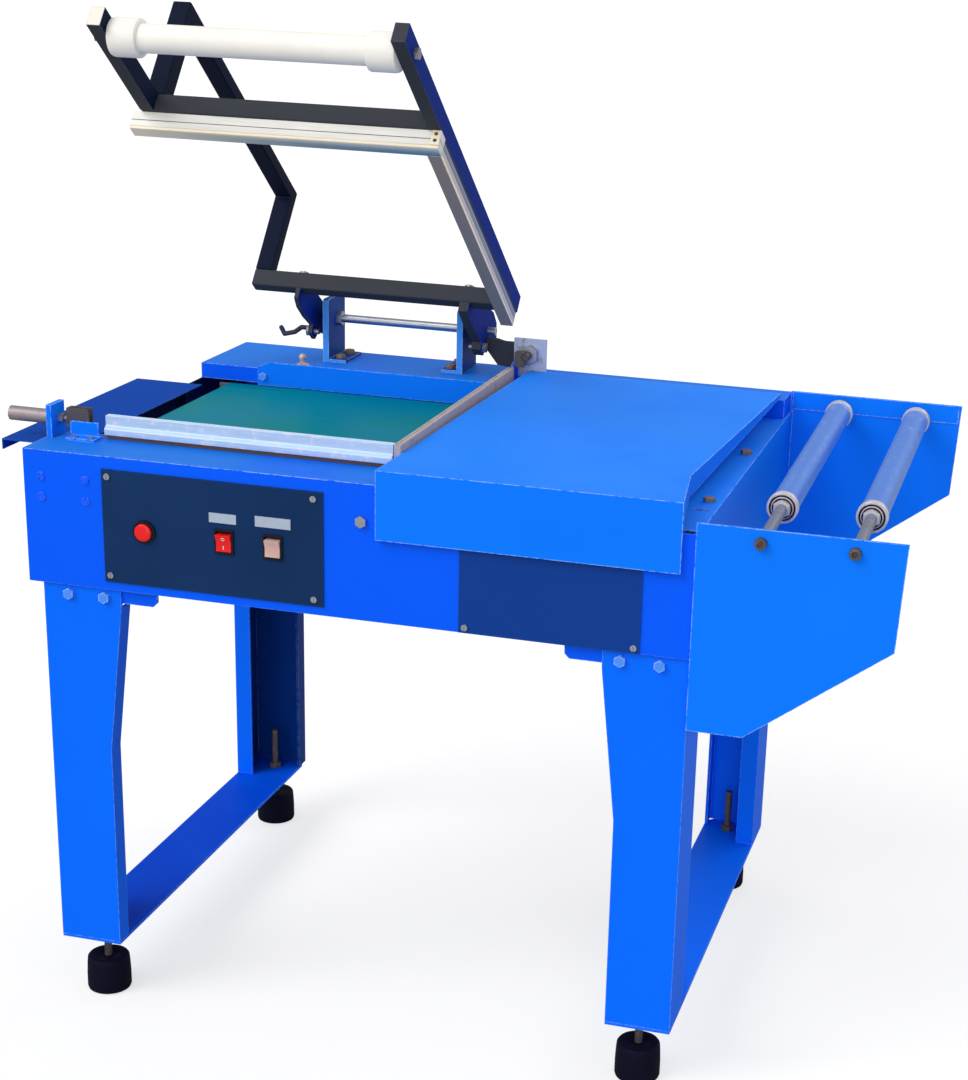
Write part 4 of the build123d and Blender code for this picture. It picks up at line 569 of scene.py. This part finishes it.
def turned_piece(name, profile, hollow=False, sides=None):
    """Turned shape on z = 0 from pairs of radius and height, closed at both ends or a ring."""
    sides = sides or bpy.context.scene.sealer_sizes.rounds
    radius, height = profile[0]
    bpy.ops.object.select_all(action="DESELECT")
    bpy.ops.mesh.primitive_circle_add(vertices=sides, radius=radius, location=(0, 0, height),
                                      fill_type="NOTHING" if hollow else "NGON")
    piece = bpy.context.active_object
    piece.name = name
    settle(piece)
    bpy.ops.object.mode_set(mode="EDIT")
    bpy.ops.mesh.select_all(action="SELECT")
    for next_radius, next_height in profile[1:] + ([profile[0]] if hollow else []):
        bpy.ops.mesh.extrude_region_move(TRANSFORM_OT_translate={"value": (0, 0, next_height - height)})
        ratio = next_radius / radius
        bpy.ops.transform.resize(value=(ratio, ratio, 1))
        radius, height = next_radius, next_height
    bpy.ops.mesh.select_all(action="SELECT")
    bpy.ops.mesh.remove_doubles(threshold=WELD)
    bpy.ops.mesh.normals_make_consistent(inside=False)
    bpy.ops.object.mode_set(mode="OBJECT")
    smooth(piece, 40.0)
    return piece


def stand(piece, place, direction):
    """Turns a piece's own Z towards a direction and moves it to a place."""
    piece.rotation_mode = "QUATERNION"
    piece.rotation_quaternion = Vector(direction).to_track_quat("Z", "Y")
    piece.location = place
    return settle(piece)


def copy_of(piece, name):
    """Copy of a piece with a mesh of its own."""
    alone(piece)
    bpy.ops.object.duplicate(linked=False)
    made = bpy.context.active_object
    made.name = name
    made.data.name = name
    return made


def join(pieces, name):
    """One piece from several."""
    bpy.ops.object.select_all(action="DESELECT")
    for piece in pieces:
        piece.select_set(True)
    bpy.context.view_layer.objects.active = pieces[0]
    if len(pieces) > 1:
        bpy.ops.object.join()
    made = bpy.context.active_object
    made.name = name
    made.data.name = name
    return made


def body_of(node):
    """The body that a node of the frame rides on."""
    return frame["nodes"][node]["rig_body"]


def stand_in(piece, *nodes, slot, finish=None):
    """Lets a finished piece stand for nodes of the frame."""
    coat(piece, slot, finish)
    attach(piece, body_of(nodes[0]))
    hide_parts(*nodes)
    return piece


def swing(piece):
    """Swings a piece of the closed arm up to the arm's rest."""
    piece.matrix_world = turn_about(HINGE, -ARM_OPEN) @ piece.matrix_world
    return settle(piece)


def rounded_copy(node, width, segments=2):
    """Copy of a node of the frame with its faces joined and its edges rounded."""
    piece = copy_of(frame["nodes"][node], node + "_rounded")
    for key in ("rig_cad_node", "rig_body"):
        if key in piece:
            del piece[key]
    piece.parent = None
    alone(piece)
    bpy.ops.object.mode_set(mode="EDIT")
    bpy.ops.mesh.select_all(action="SELECT")
    bpy.ops.mesh.remove_doubles(threshold=WELD)
    bpy.ops.mesh.dissolve_limited(angle_limit=math.radians(1.0))
    bpy.ops.object.mode_set(mode="OBJECT")
    return soften(piece, width, segments)


def loose_parts(piece):
    """The separate bodies of one piece, each as an object."""
    alone(piece)
    bpy.ops.mesh.separate(type="LOOSE")
    return list(bpy.context.selected_objects)


def extent(piece):
    """Size of a piece along the frame's axes, and its middle."""
    corners = [piece.matrix_world @ Vector(corner) for corner in piece.bound_box]
    low = Vector([min(corner[i] for corner in corners) for i in range(3)])
    high = Vector([max(corner[i] for corner in corners) for i in range(3)])
    return high - low, (high + low) / 2


def arm_place(x, reach, height):
    """Place on the closed arm, from its own reach forward and height above the hinge."""
    return Vector((x + CORNER.x, HINGE.y - reach, HINGE.z + height))


# Operators, one for each group of pieces

class SEALER_OT_stage(bpy.types.Operator):
    """Add the camera, the soft studio light and the pale floor."""

    bl_idname = "sealer.stage"
    bl_label = "Stage"

    def execute(self, context):
        stage = context.scene.sealer_stage
        context.scene.view_settings.view_transform = "Standard"
        self.add_camera(context, stage)
        self.add_world(context, stage)
        self.add_lamp("Key_lamp", stage.key, (-0.55, -0.55, 0.75), 35.0)
        self.add_lamp("Front_lamp", stage.front, (0.1, -0.95, 0.22), 50.0)
        self.add_lamp("Back_lamp", stage.back, (0.6, 0.7, 0.6), 40.0)
        self.add_floor(stage)
        return {"FINISHED"}

    def add_camera(self, context, stage):
        """Camera with the photograph's place, angle, focal length and centre of projection."""
        data = bpy.data.cameras.new("Camera")
        camera = bpy.data.objects.new("Camera", data)
        context.scene.collection.objects.link(camera)
        az, el, ro = stage.azimuth, stage.elevation, stage.roll
        ahead = Vector((-math.sin(az) * math.cos(el), math.cos(az) * math.cos(el), -math.sin(el)))
        right = Vector((math.cos(az), math.sin(az), 0.0))
        above = right.cross(ahead)
        side = right * math.cos(ro) + above * math.sin(ro)
        top = above * math.cos(ro) - right * math.sin(ro)
        turn = Matrix((side, top, -ahead)).transposed()
        camera.matrix_world = Matrix.Translation(stage.place) @ turn.to_4x4()
        data.sensor_fit = "HORIZONTAL"
        data.sensor_width = SENSOR
        data.lens = FOCAL / PHOTO_WIDTH * SENSOR
        data.shift_x = (PHOTO_WIDTH / 2 - CENTRE_X) / PHOTO_WIDTH
        data.shift_y = (CENTRE_Y - PHOTO_HEIGHT / 2) / PHOTO_WIDTH
        data.clip_end = 200.0
        context.scene.camera = camera

    def add_world(self, context, stage):
        """Even light, seen as white by the camera."""
        world = bpy.data.worlds.new("Studio")
        context.scene.world = world
        world.use_nodes = True
        nodes = world.node_tree.nodes
        links = world.node_tree.links
        backdrop = nodes["Background"]
        backdrop.inputs["Color"].default_value = (1, 1, 1, 1)
        rays = nodes.new("ShaderNodeLightPath")
        seen = nodes.new("ShaderNodeMath")
        seen.operation = "MAXIMUM"
        links.new(rays.outputs["Is Camera Ray"], seen.inputs[0])
        links.new(rays.outputs["Is Transmission Ray"], seen.inputs[1])
        mirrored = nodes.new("ShaderNodeMapRange")
        mirrored.inputs["To Min"].default_value = stage.sky
        mirrored.inputs["To Max"].default_value = stage.glint
        links.new(rays.outputs["Is Glossy Ray"], mirrored.inputs["Value"])
        strength = nodes.new("ShaderNodeMapRange")
        strength.inputs["To Max"].default_value = 1.0
        links.new(mirrored.outputs[0], strength.inputs["To Min"])
        links.new(seen.outputs[0], strength.inputs["Value"])
        links.new(strength.outputs[0], backdrop.inputs["Strength"])

    def add_lamp(self, name, power, towards, spread):
        """Broad lamp far away in one direction."""
        data = bpy.data.lights.new(name, "SUN")
        data.energy = power
        data.angle = math.radians(spread)
        lamp = bpy.data.objects.new(name, data)
        bpy.context.scene.collection.objects.link(lamp)
        lamp.rotation_mode = "QUATERNION"
        lamp.rotation_quaternion = Vector(towards).to_track_quat("Z", "Y")

    def add_floor(self, stage):
        """Pale floor that takes a soft shadow."""
        bpy.ops.object.select_all(action="DESELECT")
        bpy.ops.mesh.primitive_plane_add(size=stage.floor, location=(0, 0, 0))
        floor = bpy.context.active_object
        floor.name = "Floor"
        grey, rough, glow_strength = 0.42, 0.9, 0.6
        material = bpy.data.materials.new("Pale_floor")
        material.use_nodes = True
        nodes = material.node_tree.nodes
        links = material.node_tree.links
        shader = nodes["Principled BSDF"]
        shader.inputs["Base Color"].default_value = (grey, grey, grey, 1)
        shader.inputs["Roughness"].default_value = rough
        shader.inputs["Specular IOR Level"].default_value = 0.0
        rays = nodes.new("ShaderNodeLightPath")
        glow = nodes.new("ShaderNodeMath")
        glow.operation = "MULTIPLY"
        glow.inputs[1].default_value = glow_strength
        links.new(rays.outputs["Is Camera Ray"], glow.inputs[0])
        shader.inputs["Emission Color"].default_value = (1, 1, 1, 1)
        links.new(glow.outputs[0], shader.inputs["Emission Strength"])
        floor.data.materials.append(material)


class SEALER_OT_frame_finishes(bpy.types.Operator):
    """Give every node of the frame its own finish."""

    bl_idname = "sealer.frame_finishes"
    bl_label = "Frame finishes"

    def execute(self, context):
        finishes.update(make_finishes())
        for node, piece in frame["nodes"].items():
            coat(piece, node_slots[node], own_finish.get(node))
        return {"FINISHED"}


class SEALER_OT_rounded_metal(bpy.types.Operator):
    """Round the edges of the arm's tubes, the jaws, the bars, the brackets and the legs."""

    bl_idname = "sealer.rounded_metal"
    bl_label = "Rounded metal"

    def execute(self, context):
        sizes = context.scene.sealer_sizes
        widths = {
            sizes.tube_round: ("arm_side_tube", "arm_hinge_bar", "arm_front_bar", "arm_prong",
                               "arm_goose_neck"),
            sizes.plate_round: ("front_jaw", "side_jaw", "jaw_pads", "hinge_brackets", "hinge_lugs",
                                "leg_front_left", "leg_back_left", "leg_front_right", "leg_back_right",
                                "skid_left", "skid_right", "leg_gussets", "front_seal_bar", "side_seal_bar",
                                "gear_motor", "transformer"),
            sizes.bolt_round: ("arm_bolts", "front_screws", "hinge_shaft", "main_rocker", "conveyor_rocker",
                               "switch_bezels", "bar_strips"),
            sizes.sheet_round: ("cabinet", "rear_cover", "work_table", "film_cradle", "guard_plate",
                                "exit_tray", "control_panel", "access_door"),
        }
        for width, nodes in widths.items():
            for node in nodes:
                stand_in(rounded_copy(node, width), node, slot=node_slots[node], finish=own_finish.get(node))
        for node in two_finishes:
            self.add_bolts(node, sizes.bolt_round)
        return {"FINISHED"}

    def add_bolts(self, node, width):
        """Rounds the bolts of one node and gives those on either side of its plane their own finish."""
        axis, limit, before, past = two_finishes[node]
        sorted_bolts = {before: [], past: []}
        for bolt in loose_parts(rounded_copy(node, width)):
            sorted_bolts[before if extent(bolt)[1][axis] < limit else past].append(bolt)
        for finish, bolts in sorted_bolts.items():
            stand_in(join(bolts, f"{node}_{finish}"), node, slot="zinc", finish=finish)


class SEALER_OT_handle(bpy.types.Operator):
    """Turn the handle's plastic pipe and its two caps."""

    bl_idname = "sealer.handle"
    bl_label = "Handle"

    def execute(self, context):
        sizes = context.scene.sealer_sizes
        pipe, cap, long = sizes.pipe_radius, sizes.cap_radius, sizes.cap_length
        sunk, chamfer, play, bore_depth = 0.012, 0.0008, 0.0002, 0.006
        start = HANDLE_LEFT + long - sunk
        end = HANDLE_RIGHT - long + sunk
        length = end - start
        bar = turned_piece("handle_pipe_turned", [(pipe - chamfer, 0), (pipe, chamfer),
                                                  (pipe, length - chamfer), (pipe - chamfer, length)])
        swing(stand(bar, arm_place(start, HANDLE_REACH, HANDLE_RISE), (1, 0, 0)))
        stand_in(bar, "handle_pipe", slot="white_plastic")
        profile = [(cap - 0.0035, 0), (cap - 0.001, 0.0008), (cap - 0.0002, 0.003), (cap, 0.006),
                   (cap, long - 0.0025), (cap - 0.0008, long - 0.0006), (cap - 0.002, long),
                   (pipe + play, long), (pipe + play, long - bore_depth)]
        first = turned_piece("cap", profile)
        second = copy_of(first, "cap_right")
        stand(first, arm_place(HANDLE_LEFT, HANDLE_REACH, HANDLE_RISE), (1, 0, 0))
        stand(second, arm_place(HANDLE_RIGHT, HANDLE_REACH, HANDLE_RISE), (-1, 0, 0))
        caps = swing(join([first, second], "handle_caps_turned"))
        stand_in(caps, "handle_caps", slot="white_plastic")
        return {"FINISHED"}


class SEALER_OT_stop_button(bpy.types.Operator):
    """Turn the stop button with its domed face and the collar round it."""

    bl_idname = "sealer.stop_button"
    bl_label = "Stop button"

    def execute(self, context):
        cap = turned_piece("stop_button_turned", [
            (0.0066, -0.0055), (0.0066, 0.0033), (0.0108, 0.0035), (0.011, 0.004), (0.011, 0.0058),
            (0.0105, 0.0066), (0.0092, 0.0071), (0.006, 0.00725), (0.002, 0.0073)])
        stand(cap, STOP_BUTTON, (0, -1, 0))
        stand_in(cap, "stop_button", slot="red_plastic")
        ring = turned_piece("button_collar_turned", [
            (0.0113, -0.001), (0.0113, 0.0022), (0.0118, 0.003), (0.0132, 0.003), (0.0142, 0.0024),
            (0.0145, 0.001), (0.0145, 0.0), (0.0098, 0.0), (0.0098, -0.001)], hollow=True)
        stand(ring, STOP_BUTTON, (0, -1, 0))
        coat(ring, "black_plastic")
        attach(ring, body_of("button_collar"))
        return {"FINISHED"}


class SEALER_OT_feet(bpy.types.Operator):
    """Turn one rubber foot and set four of it."""

    bl_idname = "sealer.feet"
    bl_label = "Feet"

    def execute(self, context):
        sizes = context.scene.sealer_sizes
        wide, high = sizes.foot_radius, sizes.foot_height
        profile = [(wide * 0.3, 0), (wide - 0.004, 0), (wide - 0.001, 0.0012), (wide, 0.004),
                   (wide, high * 0.45), (wide - 0.0008, high * 0.8), (wide - 0.0015, high - 0.0025),
                   (wide - 0.003, high - 0.0004), (wide - 0.005, high), (wide * 0.45, high),
                   (wide * 0.42, high - 0.0006), (wide * 0.25, high - 0.001)]
        places = [(CORNER.x + x, CORNER.y + y, 0.0) for x in FEET_X for y in FEET_Y]
        first = turned_piece("foot", profile)
        copies = [first] + [copy_of(first, f"foot_{i}") for i in range(3)]
        for piece, place in zip(copies, places):
            piece.location = place
            settle(piece)
        stand_in(join(copies, "feet_turned"), "foot_pads", slot="foot_rubber")
        return {"FINISHED"}


class SEALER_OT_bearings(bpy.types.Operator):
    """Turn the bearings of the film rollers with their races, seals and lock nuts."""

    bl_idname = "sealer.bearings"
    bl_label = "Roller bearings"

    def execute(self, context):
        bore, face, back = 0.00715, 0.005, -0.005
        for node in ("film_roller_inner_bearings", "film_roller_outer_bearings"):
            ends = self.places(node)
            metals, seals = [], []
            for place, other in (ends, ends[::-1]):
                race = turned_piece("race", [(0.019, back), (0.019, 0.0042), (0.0183, face), (0.0165, face),
                                             (0.016, 0.0044), (0.016, back)], hollow=True)
                core = turned_piece("core", [(0.0138, back), (0.0138, 0.0042), (0.0132, face), (bore, face),
                                             (bore, back)], hollow=True)
                nut = turned_piece("nut", [(0.0112, face), (0.0112, 0.0102), (0.0106, 0.011), (bore, 0.011),
                                           (bore, face)], hollow=True, sides=6)
                seal = turned_piece("seal", [(0.016, -0.004), (0.016, 0.0034), (0.0138, 0.0034),
                                             (0.0138, -0.004)], hollow=True)
                washer = turned_piece("washer", [(0.0124, 0.0048), (0.0124, 0.0056), (0.0105, 0.0056),
                                                 (0.0105, 0.0048)], hollow=True)
                metals += [stand(piece, place, place - other) for piece in (race, core, nut)]
                seals += [stand(piece, place, place - other) for piece in (seal, washer)]
            stand_in(join(metals, node + "_turned"), node, slot="bearing_steel")
            seal = join(seals, node + "_seals")
            coat(seal, "bearing_steel", "black_plastic")
            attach(seal, body_of(node))
        return {"FINISHED"}

    def places(self, node):
        """Middles of the two bearings that a node holds."""
        parts = loose_parts(rounded_copy(node, 0.0001))
        middles = [extent(part)[1] for part in parts]
        bpy.ops.object.delete()
        return middles


class SEALER_OT_ball(bpy.types.Operator):
    """Turn the ball fitting on the drive cover."""

    bl_idname = "sealer.ball"
    bl_label = "Ball fitting"

    def execute(self, context):
        ball = turned_piece("ball_fitting_turned", [
            (0.0115, 0.0001), (0.0112, 0.001), (0.0098, 0.0034), (0.0072, 0.0048), (0.0036, 0.0053),
            (0.0033, 0.0082), (0.0045, 0.0097), (0.005, 0.0122), (0.0052, 0.0135), (0.005, 0.0152),
            (0.0039, 0.0172), (0.0022, 0.0182), (0.0008, 0.0185)])
        stand(ball, BALL, (0, 0, 1))
        coat(ball, "zinc", "stained_zinc")
        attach(ball, body_of("cover_fittings"))
        return {"FINISHED"}


class SEALER_OT_jaw_corner(bpy.types.Operator):
    """Set the end plate with its two screws on the front jaw's right end."""

    bl_idname = "sealer.jaw_corner"
    bl_label = "Jaw corner"

    def execute(self, context):
        plate_face = JAW_FRONT + 0.0014
        plate = box_piece("jaw_corner_plate", arm_place(JAW_END_LEFT, plate_face, JAW_END_LOW),
                          arm_place(JAW_END_RIGHT, JAW_FRONT, JAW_END_HIGH))
        swing(soften(plate, 0.0003))
        coat(plate, "jaw_metal", "jaw_rubber")
        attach(plate, body_of("front_jaw"))
        heads = []
        for rise in JAW_SCREWS_RISE:
            head = turned_piece("head", [(0.0023, 0.0), (0.0023, 0.0005), (0.0015, 0.0009), (0.0006, 0.001)])
            middle = arm_place((JAW_END_LEFT + JAW_END_RIGHT) / 2, plate_face, rise)
            heads.append(stand(head, middle, (0, -1, 0)))
        heads = swing(join(heads, "jaw_corner_screws"))
        coat(heads, "zinc", "dark_steel")
        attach(heads, body_of("front_jaw"))
        return {"FINISHED"}


class SEALER_OT_tensioners(bpy.types.Operator):
    """Part the wire tensioners into their tube, plates, clamps and nuts."""

    bl_idname = "sealer.tensioners"
    bl_label = "Tensioners"

    def execute(self, context):
        width = context.scene.sealer_sizes.bolt_round
        for node, finish_for in (("left_tensioner", self.left_finish),
                                 ("right_tensioner", self.right_finish)):
            for piece in loose_parts(rounded_copy(node, width)):
                stand_in(piece, node, slot="zinc", finish=finish_for(extent(piece)[0]))
        return {"FINISHED"}

    def left_finish(self, size):
        """Finish of a piece of the left tensioner, told by its size."""
        tube_long, plate_long, plate_high, clamp_long = 0.05, 0.036, 0.04, 0.025
        if size.x > tube_long:
            return "dull_tube"
        if size.x > plate_long or size.z > plate_high:
            # This plate takes the lighter copy of the blue paint, painted light.
            return "bright_paint"
        return "dark_steel" if size.x > clamp_long else "zinc"

    def right_finish(self, size):
        """Finish of a piece of the right tensioner, told by its size."""
        plate_high, nut_long = 0.05, 0.0145
        if size.z > plate_high:
            return "pale_plate"
        return "dark_steel" if size.x < nut_long else "bright_steel"


class SEALER_OT_switch_marks(bpy.types.Operator):
    """Raise the on and off marks on the two rockers."""

    bl_idname = "sealer.switch_marks"
    bl_label = "Switch marks"

    def execute(self, context):
        drop, proud, spread, pivot_depth = 0.09, 0.00125, 0.0055, 0.003
        slope, pressed = math.radians(12.5), math.radians(9)
        for node, x, finish in (("main_rocker", 0.265, "mark_white"),
                                ("conveyor_rocker", 0.328, "pale_plastic")):
            middle = Vector((CORNER.x + x, CORNER.y - 0.005, TABLE - drop))
            bar = box_piece("bar_mark", (-0.0004, -0.0022, -0.0002), (0.0004, 0.0022, 0.00025))
            stand(bar, middle + Vector((0, -proud, -spread)), (0, -math.cos(slope), math.sin(slope)))
            bpy.ops.object.select_all(action="DESELECT")
            bpy.ops.mesh.primitive_torus_add(major_radius=0.0019, minor_radius=0.0003, major_segments=28,
                                             minor_segments=8)
            ring = bpy.context.active_object
            stand(ring, middle + Vector((0, -proud, spread)), (0, -math.cos(slope), -math.sin(slope)))
            mark = join([bar, ring], node + "_marks")
            pivot = Vector((middle.x, CORNER.y + pivot_depth, middle.z))
            mark.matrix_world = turn_about(pivot, pressed) @ mark.matrix_world
            settle(mark)
            coat(mark, node_slots[node], finish)
            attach(mark, body_of(node))
        return {"FINISHED"}


class SEALER_PT_panel(bpy.types.Panel):
    """Lists the pieces of the machine in the sidebar."""

    bl_label = "L Bar Sealer"
    bl_idname = "SEALER_PT_panel"
    bl_space_type = "VIEW_3D"
    bl_region_type = "UI"
    bl_category = "Sealer"

    def draw(self, context):
        for operator in operators:
            self.layout.operator(operator.bl_idname)


groups = (SealerColours, SealerSizes, SealerStage)
operators = (SEALER_OT_stage, SEALER_OT_frame_finishes, SEALER_OT_rounded_metal, SEALER_OT_handle,
             SEALER_OT_stop_button, SEALER_OT_feet, SEALER_OT_tensioners, SEALER_OT_switch_marks,
             SEALER_OT_bearings, SEALER_OT_ball, SEALER_OT_jaw_corner)


def register():
    """Adds the classes and their settings."""
    for made in groups + operators + (SEALER_PT_panel,):
        bpy.utils.register_class(made)
    bpy.types.Scene.sealer_colours = bpy.props.PointerProperty(type=SealerColours)
    bpy.types.Scene.sealer_sizes = bpy.props.PointerProperty(type=SealerSizes)
    bpy.types.Scene.sealer_stage = bpy.props.PointerProperty(type=SealerStage)


def unregister():
    """Takes them out again."""
    del bpy.types.Scene.sealer_stage
    del bpy.types.Scene.sealer_sizes
    del bpy.types.Scene.sealer_colours
    for made in reversed(groups + operators + (SEALER_PT_panel,)):
        bpy.utils.unregister_class(made)


def main():
    """Builds every piece in order."""
    register()
    bpy.ops.sealer.stage()
    bpy.ops.sealer.frame_finishes()
    bpy.ops.sealer.rounded_metal()
    bpy.ops.sealer.handle()
    bpy.ops.sealer.stop_button()
    bpy.ops.sealer.feet()
    bpy.ops.sealer.tensioners()
    bpy.ops.sealer.switch_marks()
    bpy.ops.sealer.bearings()
    bpy.ops.sealer.ball()
    bpy.ops.sealer.jaw_corner()


if __name__ == "__main__":
    main()
